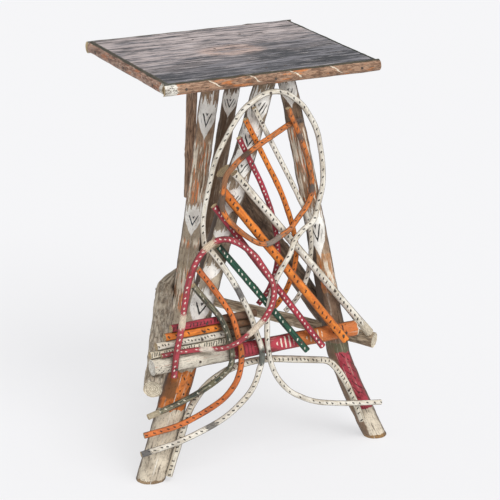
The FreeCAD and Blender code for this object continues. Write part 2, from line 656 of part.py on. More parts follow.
def nail_pairs(label, pairs):
    """Nails through each first piece into its second, where their axes come closest."""
    nails = []
    for upper, lower in pairs:
        apart, spots, _ = AXES[upper].distToShape(AXES[lower])
        near, far = spots[0]
        inward = (far - near).normalize()
        reach = REACH[upper](near)
        length = apart + reach - REACH[lower](far) + size("nail_grip")
        nail = add_nail(f"{label}_{len(nails) + 1}", near - inward * reach, inward, length)
        nails.append((nail, (upper, lower)))
    add_group(label, nails)


nail_pairs("frame_nails", (
    ("front_stretcher", "front_left_leg"), ("front_stretcher", "front_right_leg"),
    ("left_stretcher", "front_stretcher"), ("left_stretcher", "rear_leg"),
    ("right_stretcher", "front_right_leg"), ("right_stretcher", "rear_leg"),
    ("diagonal_brace", "front_left_leg"), ("diagonal_brace", "front_right_leg"),
    ("rear_left_post", "rear_leg"), ("rear_right_post", "rear_leg"),
    *((rail, "front_left_leg") for rail in LEDGE_ENDS)))
nail_pairs("lattice_nails", (
    *((slat, "front_left_leg") for slat in SLATS), ("long_white_slat", "front_right_leg"),
    *((slat, "front_stretcher") for slat in ("long_orange_slat", "long_red_slat", "long_green_slat")),
    *((tail, leg) for tail in ("white_tail_twig", "orange_tail_twig", "olive_tail_twig")
      for leg in ("front_left_leg", "front_stretcher")),
    ("white_loop", "front_left_leg"), ("white_loop", "front_stretcher"),
    ("orange_ring", "front_right_leg"), ("red_arch", "front_stretcher"),
    ("low_arch", "front_left_leg"), ("low_arch", "front_right_leg")))

# Nails down through the board into each pole's head, flush with the board
POLES = {"front_left_leg": LEFT, "front_right_leg": RIGHT, "rear_leg": REAR,
         "rear_left_post": LEFT_POST, "rear_right_post": RIGHT_POST}
flush = V(0, 0, size("board_thickness") - size("nail_head_thickness"))
top_nails = []
for label, pole in POLES.items():
    nail = add_nail(f"top_nails_{label}", pole.at(1) + flush, V(0, 0, -1), flush.z + size("nail_grip"))
    top_nails.append((nail, ("top_board", label)))
add_group("top_nails", top_nails)

# Nails through the crest of each edge strip into the board
trim_nails = []
for label, (length, corner, along, outward) in TRIMS.items():
    inset = size("trim_nail_inset")
    for step in (inset, length / 2, length - inset):
        seat = corner + along * step + outward * trim_depth
        nail = add_nail(f"trim_nails_{label}", seat, -outward, trim_depth + size("nail_grip"))
        trim_nails.append((nail, ("top_board", label)))
add_group("trim_nails", trim_nails)

DOC.recompute()
failed = [item.Label for item in DOC.Objects if "Invalid" in item.State or "Error" in item.State]
failed += [label for label, item in PARTS.items() if item.Shape.isNull() or not item.Shape.isValid()]
if failed:
    raise RuntimeError(f"these did not build: {failed}")
os.makedirs("parts", exist_ok=True)
for label, item in PARTS.items():
    item.Shape.exportStep(f"parts/{label}.step")
    print(label, round(item.Shape.Volume / 1000, 1), "cm3")
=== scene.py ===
# %% [markdown]
# # A bentwood side table
# The table is a small board on a tripod of natural poles. Straight and bent
# twigs, painted and dashed by hand, are nailed across its front. Every stick
# is a sheet of bark rolled round a path, so one helper makes them all and its
# flat sheet gives each stick a map of its own surface for the paint.

# %% Load the fixed frame
import math
import random
from functools import partial, partialmethod
from itertools import zip_longest

import bpy
import numpy as np
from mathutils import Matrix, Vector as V, noise


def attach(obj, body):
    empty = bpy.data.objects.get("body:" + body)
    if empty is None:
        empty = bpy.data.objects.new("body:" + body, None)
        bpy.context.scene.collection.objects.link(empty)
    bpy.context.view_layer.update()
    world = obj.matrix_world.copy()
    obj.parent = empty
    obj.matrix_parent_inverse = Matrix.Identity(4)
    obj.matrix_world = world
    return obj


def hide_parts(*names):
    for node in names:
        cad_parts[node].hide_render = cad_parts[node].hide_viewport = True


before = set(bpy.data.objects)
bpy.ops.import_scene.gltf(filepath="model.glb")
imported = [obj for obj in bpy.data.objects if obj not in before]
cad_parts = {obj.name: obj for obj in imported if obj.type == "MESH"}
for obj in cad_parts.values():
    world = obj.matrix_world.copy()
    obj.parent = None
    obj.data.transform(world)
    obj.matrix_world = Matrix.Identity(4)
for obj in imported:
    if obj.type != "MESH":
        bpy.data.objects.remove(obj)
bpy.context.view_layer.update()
MM = 0.001
print("CAD nodes:", len(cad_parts))

# %% [markdown]
# ## The plan of the frame
# The sticks are placed as a maker places them: the legs first, then what rests
# on the legs, then what rests on that. Lengths here are in millimetres, from
# the floor under the middle of the outline. A place on the front is a share
# across from the left leg to the right one, a share up the legs, and a
# distance out in front of their plane.

# %% Legs and posts
GAP = 0.3
TOP_MIDDLE = V((9.5, 19.5, 0))
TOP_HEIGHT = 737
TOP_WIDTH = 419
TOP_DEPTH = 364
UNDERSIDE = 719
TRIM = 11
LEG_LINE = -144
BOW_UP = 0.26
LEFT_POST_SEAT = 436.7
RIGHT_POST_SEAT = 329.9


class Pole:
    """A pole cut level at both ends, with a taper and a sideways bow."""

    def __init__(self, foot, head, foot_dia, head_dia, bow=0):
        self.foot, self.head, self.dia, self.bow = V(foot), V(head), (foot_dia, head_dia), bow

    def chord(self, up):
        return self.foot.lerp(self.head, up)

    def at(self, up):
        low = 1 - max(0, 1 - up / BOW_UP) ** 1.3
        high = min(1, (1 - up) / (1 - BOW_UP)) ** 1.25
        return self.chord(up) - V((self.bow * min(low, high), 0, 0))

    def share(self, height):
        return (height - self.foot.z) / (self.head.z - self.foot.z)

    def at_height(self, height):
        return self.at(self.share(height))

    def radius(self, up):
        return (self.dia[0] * (1 - up) + self.dia[1] * up) / 2


LEFT = Pole(TOP_MIDDLE + V((-230.25, LEG_LINE, 0)), TOP_MIDDLE + V((0.5, LEG_LINE, UNDERSIDE)), 55, 38)
RIGHT = Pole(TOP_MIDDLE + V((230.25, LEG_LINE, 0)), TOP_MIDDLE + V((37.5, LEG_LINE, UNDERSIDE)), 46, 32, 32)
REAR = Pole(TOP_MIDDLE + V((-63.5, 156, 0)), TOP_MIDDLE + V((-21.5, 23, UNDERSIDE)), 42, 33)
LEFT_POST_DIA, RIGHT_POST_DIA = 20, 30
LEFT_POST_LEAN = 10


def beside_rear(height, dia):
    """How far a post's axis lies from the rear leg's, where the two touch."""
    return REAR.radius(REAR.share(height)) + dia / 2 + GAP


seat = REAR.at_height(LEFT_POST_SEAT) + V((0, beside_rear(LEFT_POST_SEAT, LEFT_POST_DIA), 0))
LEFT_POST = Pole(seat, (seat.x + LEFT_POST_LEAN, seat.y, UNDERSIDE), LEFT_POST_DIA, LEFT_POST_DIA)
seat = REAR.at_height(RIGHT_POST_SEAT) + V((beside_rear(RIGHT_POST_SEAT, RIGHT_POST_DIA), 0, 0))
RIGHT_POST = Pole(seat, TOP_MIDDLE + V((68.5, 107, UNDERSIDE)), RIGHT_POST_DIA, RIGHT_POST_DIA)


# %% Places on the front
def front_point(across, up, out):
    left = LEFT.chord(up)
    return left + (RIGHT.chord(up) - left) * across - V((0, out, 0))


def resting(dia, across, up, rest):
    """How far out a stick lies: given, beside a pole, or on what a pair or a function says."""
    if isinstance(rest, Pole):
        return beside_leg(rest, across, up, dia)
    if isinstance(rest, tuple):
        return (on_leg if isinstance(rest[0], Pole) else over_slat)(*rest, dia)
    return rest(dia) if callable(rest) else rest


def front_route(dia, places):
    """Points on the front; a depth left out is shared out between its neighbours."""
    flat = [front_point(across, up, 0) for across, up, *_ in places]
    along = [0]
    for before, after in zip(flat, flat[1:]):
        along.append(along[-1] + (after - before).length)
    known = [number for number, place in enumerate(places) if len(place) > 2]
    depths = [resting(dia, *places[number]) for number in known]
    outs = np.interp(along, [along[number] for number in known], depths)
    return [front_point(across, up, out) for (across, up, *_), out in zip(places, outs)]


def stacked(dia, *between):
    """Half of a stick, with the gaps and whole sticks that lie under it."""
    return GAP + sum(other + GAP for other in between) + dia / 2


def on_leg(leg, up, dia, *between):
    return leg.radius(up) + stacked(dia, *between)


ARCH_LEAN = math.radians(28)


def beside_leg(leg, across, up, dia):
    aside = front_point(across, up, 0).x - leg.at(up).x
    touch = leg.radius(up) + GAP + dia / 2 / math.cos(ARCH_LEAN)
    return math.sqrt(touch ** 2 - aside ** 2)


def aside_pole(pole, height, run, dia):
    across_run = V((run.y, -run.x, 0)).normalized()
    normal = run.cross(pole.head - pole.foot).normalized()
    touch = pole.radius(pole.share(height)) * math.hypot(normal.x, normal.y) + GAP + dia / 2
    return across_run * (touch / abs(across_run.dot(normal)))


# %% Straight sticks of the frame, each as two ends and a diameter
STICKS = {}
BRACE_DIA, BRACE_OVER = 34, 10
brace = [leg.at(up) + V((0, on_leg(leg, up, BRACE_DIA), 0)) for leg, up in ((LEFT, 0.75), (RIGHT, 0.3437))]
brace_over = (brace[1] - brace[0]).normalized() * BRACE_OVER
STICKS["diagonal_brace"] = (brace[0] - brace_over, brace[1] + brace_over, BRACE_DIA)

STRETCHER_DIA = 29
STRETCHER_HEIGHTS = (231, 237)
stretcher_up = [height / UNDERSIDE for height in STRETCHER_HEIGHTS]
leg_outs = [on_leg(leg, up, STRETCHER_DIA) for leg, up in zip((LEFT, RIGHT), stretcher_up)]
STRETCHER_ACROSS = (-0.268, 0.998)
stretcher_out = [leg_outs[0] + (leg_outs[1] - leg_outs[0]) * across for across in STRETCHER_ACROSS]
STRETCHER = [front_point(*place) for place in zip(STRETCHER_ACROSS, stretcher_up, stretcher_out)]
stretcher_run = (STRETCHER[1] - STRETCHER[0]).normalized()
STICKS["front_stretcher"] = (*STRETCHER, STRETCHER_DIA)


def on_stretcher(dia, *between):
    return max(stretcher_out) + STRETCHER_DIA / 2 + stacked(dia, *between)


LEFT_DIA, LEFT_REAR_HEIGHT, LEFT_SEAT = 33, 250.6, 3
LEFT_OVER = (8, 18)
left_seat = STRETCHER[0] + stretcher_run * LEFT_SEAT
left_rear_axis = REAR.at_height(LEFT_REAR_HEIGHT)
left_drop = (STRETCHER_DIA + LEFT_DIA) / 2 + GAP
left_level = (left_seat - V((0, 0, left_drop)) - left_rear_axis).normalized()
left_front = left_seat - V((0, 0, left_drop / abs(stretcher_run.cross(left_level).normalized().z)))
left_rear = left_rear_axis + aside_pole(REAR, LEFT_REAR_HEIGHT, left_front - left_rear_axis, LEFT_DIA)
left_run = (left_front - left_rear).normalized()
STICKS["left_stretcher"] = (left_rear - left_run * LEFT_OVER[0], left_front + left_run * LEFT_OVER[1],
                            LEFT_DIA)

RIGHT_DIAS, RIGHT_HEIGHTS, RIGHT_OVER = (18, 26), (229.9, 207.1), (24, 63)
right_axes = [pole.at_height(height) for pole, height in zip((REAR, RIGHT), RIGHT_HEIGHTS)]
right_ends = [axis - aside_pole(pole, axis.z, right_axes[1] - right_axes[0], dia)
              for pole, axis, dia in zip((REAR, RIGHT), right_axes, RIGHT_DIAS)]
right_run = (right_ends[1] - right_ends[0]).normalized()
STICKS["right_stretcher"] = (right_ends[0] - right_run * RIGHT_OVER[0],
                             right_ends[1] + right_run * RIGHT_OVER[1], RIGHT_DIAS)

LEDGE_DIA = 14
ledge_out = on_leg(LEFT, stretcher_up[0], LEDGE_DIA)
ledge_back = leg_outs[0] - ledge_out
ledge_lift = math.sqrt(((STRETCHER_DIA + LEDGE_DIA) / 2 + GAP) ** 2 - ledge_back ** 2)
LEDGE_UP = stretcher_up[0] + ledge_lift / UNDERSIDE
LEDGE_ENDS = {"cream_ledge_rail": (0.00, 0.50), "white_ledge_rail": (0.03, 0.51),
              "orange_ledge_rail": (0.07, 0.50), "red_ledge_rail": (0.10, 0.51)}
for layer, (label, ends) in enumerate(LEDGE_ENDS.items()):
    lift = V((0, ledge_back, ledge_lift + layer * (LEDGE_DIA + GAP)))
    STICKS[label] = (*[STRETCHER[0].lerp(STRETCHER[1], share) + lift for share in ends], LEDGE_DIA)


def on_ledge(dia, *between):
    return ledge_out + stretcher_out[0] - leg_outs[0] + LEDGE_DIA / 2 + stacked(dia, *between)


# %% Slats that fan out from the left leg
SLATS = {}
TWIGS = {}


def slat_out(label, up):
    _, upper, lower = SLATS[label]
    return upper[1] + (lower[1] - upper[1]) * (up - upper[0]) / (lower[0] - upper[0])


def over_slat(label, up, dia, *between):
    return slat_out(label, up) + SLATS[label][0] / 2 + stacked(dia, *between)


def under_slat(label, up, dia):
    return slat_out(label, up) - SLATS[label][0] / 2 - GAP - dia / 2


def add_slat(label, dia, head, tail, upper, lower):
    SLATS[label] = (dia, upper, lower)
    STICKS[label] = (*[front_point(across, up, slat_out(label, up)) for across, up in (head, tail)], dia)


def add_twig(label, dia, *places):
    TWIGS[label] = (dia, front_route(dia, places))


def add_bent_slat(label, dia, contact, crossing, places):
    """A twig that starts like a slat, passes behind the long white one and bends back."""
    crossing_out = under_slat("long_white_slat", crossing, dia)
    SLATS[label] = (dia, (contact, on_leg(LEFT, contact, dia)), (crossing, crossing_out))
    TWIGS[label] = (dia, [front_point(across, up, slat_out(label, max(up, crossing)))
                          for across, up in places])


add_slat("long_white_slat", 14, (-0.210, 0.784), (1.087, 0.304),
         (0.745, on_leg(LEFT, 0.74, 14)), (0.405, on_leg(RIGHT, 0.4, 14)))
for label, dia, head, tail, contact in (
        ("long_orange_slat", 16, (-0.266, 0.743), (0.882, 0.318), 0.694),
        ("long_red_slat", 12, (-0.280, 0.705), (0.739, 0.311), 0.647),
        ("long_green_slat", 12, (-0.081, 0.604), (0.642, 0.308), 0.587)):
    add_slat(label, dia, head, tail, (contact, on_leg(LEFT, contact, dia)),
             (sum(stretcher_up) / 2, on_stretcher(dia)))

# %% Bent twigs, from the back of the lattice to its front
add_bent_slat("upper_red_twig", 10, 0.803, 0.676, (
    (-0.430, 0.872), (0.295, 0.735), (0.434, 0.674), (0.501, 0.614), (0.528, 0.565), (0.518, 0.513),
    (0.461, 0.458), (0.386, 0.426)))
add_bent_slat("upper_orange_twig", 10, 0.853, 0.600, (
    (-0.485, 0.915), (0.539, 0.716), (0.649, 0.640), (0.684, 0.593), (0.693, 0.552), (0.665, 0.506),
    (0.604, 0.458), (0.537, 0.422), (0.468, 0.400)))
add_bent_slat("upper_white_twig", 9, 0.900, 0.545, (
    (-0.370, 0.940), (0.667, 0.740), (0.812, 0.655), (0.839, 0.616), (0.832, 0.573), (0.806, 0.528),
    (0.765, 0.484), (0.716, 0.449), (0.659, 0.420), (0.579, 0.395)))
ARCH, TAIL, RING, LOOP, RED = 13, 11, 10, 10, 12
ARCH_UP = (STRETCHER_HEIGHTS[0] - (STRETCHER_DIA + ARCH) / 2 - GAP) / UNDERSIDE
add_twig(
    "low_arch", ARCH,
    (0.040, 0.016, LEFT), (0.052, 0.105, LEFT), (0.063, 0.186, LEFT), (0.114, 0.242), (0.234, 0.280),
    (0.412, ARCH_UP, leg_outs[1]), (0.818, 0.249), (0.867, 0.209), (0.893, 0.174, RIGHT),
    (0.915, 0.124, RIGHT), (0.934, 0.062, beside_leg(RIGHT, 0.937, 0.062, ARCH)))
OVER_ARCH = max(beside_leg(LEFT, 0.052, 0.105, ARCH), beside_leg(LEFT, 0.063, 0.186, ARCH))
OVER_ARCH += ARCH / 2 + stacked(TAIL)
TAIL_HEAD = on_leg(LEFT, 0.603, TAIL)
add_twig(
    "white_tail_twig", TAIL,
    (-0.170, 0.603, TAIL_HEAD), (0.015, 0.552, (LEFT, 0.552)), (0.151, 0.499), (0.287, 0.419, on_ledge),
    (0.325, 0.375), (0.364, 0.335, on_stretcher), (0.373, 0.300, on_stretcher), (0.351, 0.222),
    (0.241, 0.157), (0.121, 0.124, OVER_ARCH), (0.022, 0.108, OVER_ARCH), (-0.127, 0.091, (LEFT, 0.1)))
add_twig(
    "orange_tail_twig", TAIL,
    (-0.203, 0.554, (LEFT, 0.5)), (0.002, 0.493, (LEFT, 0.49)), (0.158, 0.425, on_ledge), (0.206, 0.376),
    (0.235, 0.338, on_stretcher), (0.249, 0.300, on_stretcher), (0.253, 0.255), (0.212, 0.210),
    (0.132, 0.178, OVER_ARCH), (0.013, 0.153, OVER_ARCH), (-0.146, 0.140, (LEFT, 0.14)))
add_twig(
    "olive_tail_twig", TAIL,
    (-0.185, 0.512, (LEFT, 0.46)), (-0.009, 0.457, (LEFT, 0.45)), (0.069, 0.428, on_ledge), (0.132, 0.390),
    (0.180, 0.335, on_stretcher), (0.192, 0.300, on_stretcher), (0.150, 0.268), (0.080, 0.234, OVER_ARCH),
    (0.000, 0.211, (LEFT, 0.21)), (-0.160, 0.187, (LEFT, 0.19)))
RING_CLOSE = on_leg(RIGHT, 0.9, RING, RING)
RING_OVER = max(over_slat("upper_white_twig", 0.87, RING), over_slat("upper_orange_twig", 0.85, RING),
                over_slat("upper_red_twig", 0.84, RING))
add_twig(
    "orange_ring", RING,
    (1.030, 0.893, (RIGHT, 0.89)), (0.709, 0.885, (RIGHT, 0.89)), (0.214, 0.866, RING_OVER),
    (-0.055, 0.844, RING_OVER), (-0.187, 0.829, RING_OVER), (-0.294, 0.811, RING_OVER), (-0.370, 0.785),
    (-0.332, 0.762, ("long_orange_slat", 0.73)), (-0.277, 0.728, ("long_orange_slat", 0.72)),
    (-0.211, 0.700, ("long_red_slat", 0.68)), (-0.105, 0.672, ("long_red_slat", 0.64)),
    (0.041, 0.642, ("long_red_slat", 0.62)), (0.158, 0.620), (0.256, 0.604, ("long_orange_slat", 0.59)),
    (0.355, 0.600, ("long_orange_slat", 0.59)), (0.514, 0.613, ("long_white_slat", 0.61)),
    (0.594, 0.625, ("long_white_slat", 0.61)), (0.714, 0.648, ("upper_white_twig", 0.661)),
    (0.805, 0.669, ("upper_white_twig", 0.661)), (0.896, 0.698), (0.951, 0.745, (RIGHT, 0.74)),
    (0.947, 0.790, (RIGHT, 0.74)), (0.904, 0.829), (0.783, 0.889, RING_CLOSE), (0.694, 0.912, RING_CLOSE),
    (0.635, 0.931, RING_CLOSE))
BEHIND_RED = under_slat("long_red_slat", 0.715, LOOP)
LOOP_OVER_ARCH = beside_leg(RIGHT, 0.915, 0.124, ARCH) + (ARCH + LOOP) / 2 + GAP
add_twig(
    "white_loop", LOOP,
    (-0.180, 0.602, TAIL_HEAD - (TAIL + LOOP) / 2 - GAP), (-0.255, 0.643), (-0.314, 0.684, BEHIND_RED),
    (-0.392, 0.740, BEHIND_RED), (-0.561, 0.815), (-0.650, 0.885), (-0.689, 0.941, (LEFT, 0.95)),
    (-0.236, 0.969, (LEFT, 0.95)), (0.145, 0.974, (LEFT, 0.95)), (0.574, 0.968),
    (0.862, 0.956, (RIGHT, 0.91)), (1.157, 0.928, (RIGHT, 0.91)), (1.277, 0.865),
    (1.160, 0.781, (RIGHT, 0.70)), (1.072, 0.721, (RIGHT, 0.66)), (0.965, 0.676, (RIGHT, 0.66)),
    (0.849, 0.631), (0.712, 0.618, ("long_white_slat", 0.6)), (0.622, 0.594, ("long_white_slat", 0.6)),
    (0.541, 0.565, ("long_orange_slat", 0.54)), (0.470, 0.535, ("long_orange_slat", 0.53)),
    (0.409, 0.495, ("long_red_slat", 0.47)), (0.377, 0.431, ("long_green_slat", 0.43)),
    (0.394, 0.345, on_stretcher), (0.422, 0.295, on_stretcher), (0.471, 0.247), (0.549, 0.199),
    (0.678, 0.154), (0.836, 0.128, LOOP_OVER_ARCH), (1.034, 0.111, LOOP_OVER_ARCH))
OVER_LOOP = over_slat("long_green_slat", 0.43, RED, LOOP)
OVER_TAILS = on_stretcher(RED, TAIL)
OVER_WHITE_TAIL = on_leg(LEFT, 0.603, RED, TAIL)
add_twig(
    "red_arch", RED,
    (-0.143, 0.298, on_stretcher), (-0.181, 0.355, on_stretcher), (-0.208, 0.425), (-0.246, 0.482),
    (-0.283, 0.531), (-0.280, 0.586), (-0.199, 0.618, OVER_WHITE_TAIL), (-0.069, 0.626, OVER_WHITE_TAIL),
    (0.088, 0.609, ("long_red_slat", 0.6)), (0.244, 0.574), (0.322, 0.540, ("long_red_slat", 0.52)),
    (0.380, 0.508, OVER_LOOP), (0.398, 0.475, OVER_LOOP), (0.387, 0.448, OVER_LOOP),
    (0.346, 0.418, OVER_LOOP), (0.266, 0.389, OVER_TAILS), (0.176, 0.366, OVER_TAILS),
    (0.097, 0.358, OVER_TAILS), (-0.052, LEDGE_UP + 0.004, on_ledge), (-0.251, LEDGE_UP + 0.002, on_ledge))
print("straight sticks:", len(STICKS), "bent twigs:", len(TWIGS))

# %% [markdown]
# ## Rolling a stick
# A stick could be a cylinder that is bent, but a bent twig needs its paint to
# follow the bend. So a flat grid is added, its width is rolled round the path
# and its length follows it. The grid's own map then says how far along the
# stick each point is, and how far round from the side that faces the room.
# The seam is merged, both ends are filled and inset for a worn edge.

# %% Colours and paths
def colour(text):
    """An sRGB hex colour as linear RGBA."""
    parts = [int(text[place:place + 2], 16) / 255 for place in (1, 3, 5)]
    return (*[part / 12.92 if part <= 0.04045 else ((part + 0.055) / 1.055) ** 2.4 for part in parts], 1)


CORNER_SHARE = 0.45
CORNER_STEPS = 7


def rounded(points):
    """The points as straight runs with eased corners."""
    path = [points[0]]
    for before, corner, after in zip(points, points[1:], points[2:]):
        reach = CORNER_SHARE * min((corner - before).length, (after - corner).length)
        begin = corner + (before - corner).normalized() * reach
        finish = corner + (after - corner).normalized() * reach
        for step in range(CORNER_STEPS + 1):
            share = step / CORNER_STEPS
            path.append(begin.lerp(corner, share).lerp(corner.lerp(finish, share), share))
    return path + [points[-1]]


def even_points(path, step):
    places = np.array([tuple(point) for point in path])
    along = np.concatenate([[0], np.cumsum(np.linalg.norm(np.diff(places, axis=0), axis=1))])
    marks = np.linspace(0, along[-1], max(2, round(along[-1] / step)) + 1)
    return np.stack([np.interp(marks, along, places[:, axis]) for axis in range(3)], axis=1), marks


# %% Edit mode
def select_only(piece):
    bpy.ops.object.select_all(action="DESELECT")
    piece.select_set(True)
    bpy.context.view_layer.objects.active = piece


def start_edit(piece):
    select_only(piece)
    bpy.ops.object.mode_set(mode="EDIT")
    bpy.ops.mesh.select_all(action="SELECT")


def end_edit():
    """Turns all faces outward and leaves edit mode."""
    bpy.ops.mesh.select_all(action="SELECT")
    bpy.ops.mesh.normals_make_consistent(inside=False)
    bpy.ops.object.mode_set(mode="OBJECT")


# %% The roller
FACING = V((-0.412, -0.852, 0.323)).normalized()
END_RUN = V((0.31, 0.9, 0.28))
LUMP_MM = 34
SMALL_LUMP_MM = 13
FIBRES_ROUND = 3.2
FIBRE_MM = 55
RAGGED_MM = 16
MERGE_REACH = 0.00001
SMOOTH_ANGLE = math.radians(50)
KNOT_MM = (5, 9)
KNOT_SWELL = (0.10, 0.20)


def roll_stick(name, path, dia, finishes, lumps=0.035, ridges=0, level=False, around=16, step=3,
               knots=0, bare=(), edge=0.8, seed=1):
    """A stick with natural lumps, ridges and knots; dia is one number or several, evenly spaced along."""
    dice = random.Random(seed)
    places, marks = even_points(path, step)
    ends = dia if isinstance(dia, tuple) else (dia, dia)
    trim = 0 if level else edge
    length = marks[-1]
    tangents = np.gradient(places, axis=0)
    tangents /= np.linalg.norm(tangents, axis=1)[:, None]
    places[0] += tangents[0] * trim
    places[-1] -= tangents[-1] * trim
    bumps = [(dice.uniform(0.08, 0.92) * length, dice.uniform(-math.pi, math.pi),
              dice.uniform(*KNOT_MM), dice.uniform(*KNOT_SWELL)) for _ in range(knots)]
    bpy.ops.object.select_all(action="DESELECT")
    bpy.ops.mesh.primitive_grid_add(x_subdivisions=len(places) - 1, y_subdivisions=around, size=2)
    piece = bpy.context.object
    piece.name = piece.data.name = name
    mesh = piece.data
    shift = V([dice.uniform(-50, 50) for _ in range(3)])
    for vertex in mesh.vertices:
        share = (vertex.co.x + 1) / 2
        number = round(share * (len(places) - 1))
        turn = vertex.co.y * math.pi
        centre = V(places[number])
        ahead = V((0, 0, 1)) if level else V(tangents[number])
        front = (FACING - ahead * FACING.dot(ahead)).normalized()
        outward = front * math.cos(turn) + ahead.cross(front) * math.sin(turn)
        radius = float(np.interp(share, np.linspace(0, 1, len(ends)), ends)) / 2
        spot = centre + outward * radius
        growth = lumps * noise.noise(spot / LUMP_MM + shift)
        growth += lumps / 2 * noise.noise(spot / SMALL_LUMP_MM + shift)
        if ridges:
            fibre = V((math.cos(turn) * FIBRES_ROUND, math.sin(turn) * FIBRES_ROUND,
                       marks[number] / FIBRE_MM))
            growth += ridges * (abs(noise.noise(fibre + shift)) - 0.25)
        for place, side, width, height in bumps:
            away = ((marks[number] - place) / width) ** 2
            away += (math.remainder(turn - side, 2 * math.pi) * radius / width) ** 2
            growth += height * math.exp(-away) * (1 - 0.9 * math.exp(-away * 4))
        vertex.co = (centre + outward * radius * (1 + growth)) * MM
    sides = len(mesh.polygons)
    for corner in mesh.uv_layers.active.data:
        corner.uv.x *= length * MM
    start_edit(piece)
    bpy.ops.mesh.remove_doubles(threshold=MERGE_REACH)
    bpy.ops.mesh.select_mode(type="EDGE")
    bpy.ops.mesh.select_all(action="DESELECT")
    bpy.ops.mesh.select_non_manifold()
    bpy.ops.mesh.fill_holes(sides=0)
    bpy.ops.mesh.select_mode(type="FACE")
    bpy.ops.mesh.inset(thickness=edge * MM, depth=trim * MM)
    end_edit()
    for finish in finishes:
        mesh.materials.append(finish)
    heart = [V(places[0]) * MM, V(places[-1]) * MM]
    uv = mesh.uv_layers.active.data
    for face in mesh.polygons:
        if face.index < sides:
            continue
        face.material_index = 1
        middle = min(heart, key=lambda point: (point - face.center).length)
        sideways = face.normal.cross(END_RUN).normalized()
        upward = face.normal.cross(sideways)
        for corner in face.loop_indices:
            offset = mesh.vertices[mesh.loops[corner].vertex_index].co - middle
            uv[corner].uv = (offset.dot(sideways), offset.dot(upward))
    patch = mesh.attributes.new("bare", "FLOAT_COLOR", "POINT")
    for vertex in mesh.vertices:
        patch.data[vertex.index].color = (0, 0, 0, 0)
        if bare:
            nearest = np.argmin(np.sum((places - np.array(vertex.co) / MM) ** 2, axis=1))
            share = marks[nearest] / length
            low, high, tint = min(bare, key=lambda spot: abs(share - (spot[0] + spot[1]) / 2))
            inside = min(share - low if low > 0 else 1, high - share if high < 1 else 1) * length
            patch.data[vertex.index].color = (*colour(tint)[:3], min(1, max(0, 0.5 + inside / RAGGED_MM)))
    bpy.ops.object.shade_smooth_by_angle(angle=SMOOTH_ANGLE)
    return piece


def settle(piece, slot, *nodes):
    """Ties a finished piece to the table and hides the solids it stands in for."""
    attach(piece, "root")
    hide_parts(*nodes)


# %% [markdown]
# ## Paint and wood
# All the paint was put on by hand and is worn: it has chips that show the
# wood, dirt in its hollows and fine cracks along the grain. Each colour is
# written as it looks, in sRGB, and one function makes it linear. One small
# function adds any node. A table gives it the node's kind, its settings, the
# sockets in the order of the values, and the output that is wanted. Sums are
# written with plain signs, and each sign adds a math node.

# %% Node table
NODES = {
    "noise": ("TexNoise", {}, ("Vector", "Scale", "Detail", "Roughness"), 0),
    "chance": ("TexWhiteNoise", {"noise_dimensions": "1D"}, ("W",), None),
    "step": ("MapRange", {"interpolation_type": "SMOOTHSTEP"}, (0, 1, 2), 0),
    "mix": ("Mix", {"data_type": "RGBA"}, (0, 6, 7), 2),
    "darken": ("Mix", {"data_type": "RGBA", "blend_type": "MULTIPLY"}, (0, 6, 7), 2),
    "ramp": ("ValToRGB", {}, (0,), 0),
    "place": ("TexCoord", {}, (), "Object"),
    "map": ("UVMap", {}, (), 0),
    "bare": ("Attribute", {"attribute_name": "bare"}, (), None),
    "split": ("SeparateXYZ", {}, (0,), None),
    "join": ("CombineXYZ", {}, (0, 1, 2), 0),
    "stretch": ("Mapping", {}, ("Vector", "Scale", "Location"), 0),
    "scale": ("VectorMath", {"operation": "MULTIPLY"}, (0, 1), 0),
    "length": ("VectorMath", {"operation": "LENGTH"}, (0,), "Value"),
    "relief": ("Bump", {}, ("Height", "Distance"), 0),
    "surface": ("BsdfPrincipled", {}, ("Base Color", "Roughness", "Normal", "IOR", "Metallic"), 0),
    "sheet": ("BsdfDiffuse", {}, ("Color",), 0),
    "glow": ("Emission", {}, ("Color", "Strength"), 0),
    "both": ("MixShader", {}, (0, 1, 2), 0),
    "sky": ("Background", {}, ("Color", "Strength"), 0),
    "seen": ("LightPath", {}, (), "Is Camera Ray"),
    "end": ("OutputMaterial", {}, ("Surface",), None),
    "sky end": ("OutputWorld", {}, ("Surface",), None),
}
USUAL = {"Detail": 3, "Roughness": 0.55}


# %% Node helpers
class Value:
    """A node's output that sums can be written with; each sign adds a math node."""

    def __init__(self, socket):
        self.socket = socket

    def sum(self, what, *others):
        return node(self.socket.id_data, what, self, *others)

    def __rsub__(self, other):
        return node(self.socket.id_data, "SUBTRACT", other, self)

    __add__ = __radd__ = partialmethod(sum, "ADD")
    __sub__ = partialmethod(sum, "SUBTRACT")
    __mul__ = partialmethod(sum, "MULTIPLY")
    __truediv__ = partialmethod(sum, "DIVIDE")
    __abs__ = partialmethod(sum, "ABSOLUTE")
    __gt__ = partialmethod(sum, "GREATER_THAN")
    __lt__ = partialmethod(sum, "LESS_THAN")


def node(tree, what, *values):
    """Adds a node from the table, or else a math node, and gives its output or a list of them all."""
    kind, settings, sockets, output = NODES.get(what, ("Math", {"operation": what}, (0, 1), 0))
    made = tree.nodes.new("ShaderNode" + kind)
    for name, value in settings.items():
        setattr(made, name, value)
    for name, value in zip_longest(sockets, values):
        value = USUAL.get(name) if value is None else value
        if isinstance(value, Value):
            tree.links.new(value.socket, made.inputs[name])
        elif value is not None:
            made.inputs[name].default_value = colour(value) if isinstance(value, str) else value
    if output is None:
        return [Value(socket) for socket in made.outputs]
    return Value(made.outputs[output])


def new_finish(name):
    """A material, and the function that adds nodes to it."""
    finish = bpy.data.materials.new(name)
    finish.use_nodes = True
    finish.node_tree.nodes.clear()
    return finish, partial(node, finish.node_tree)


PAINT_IOR = 1.46


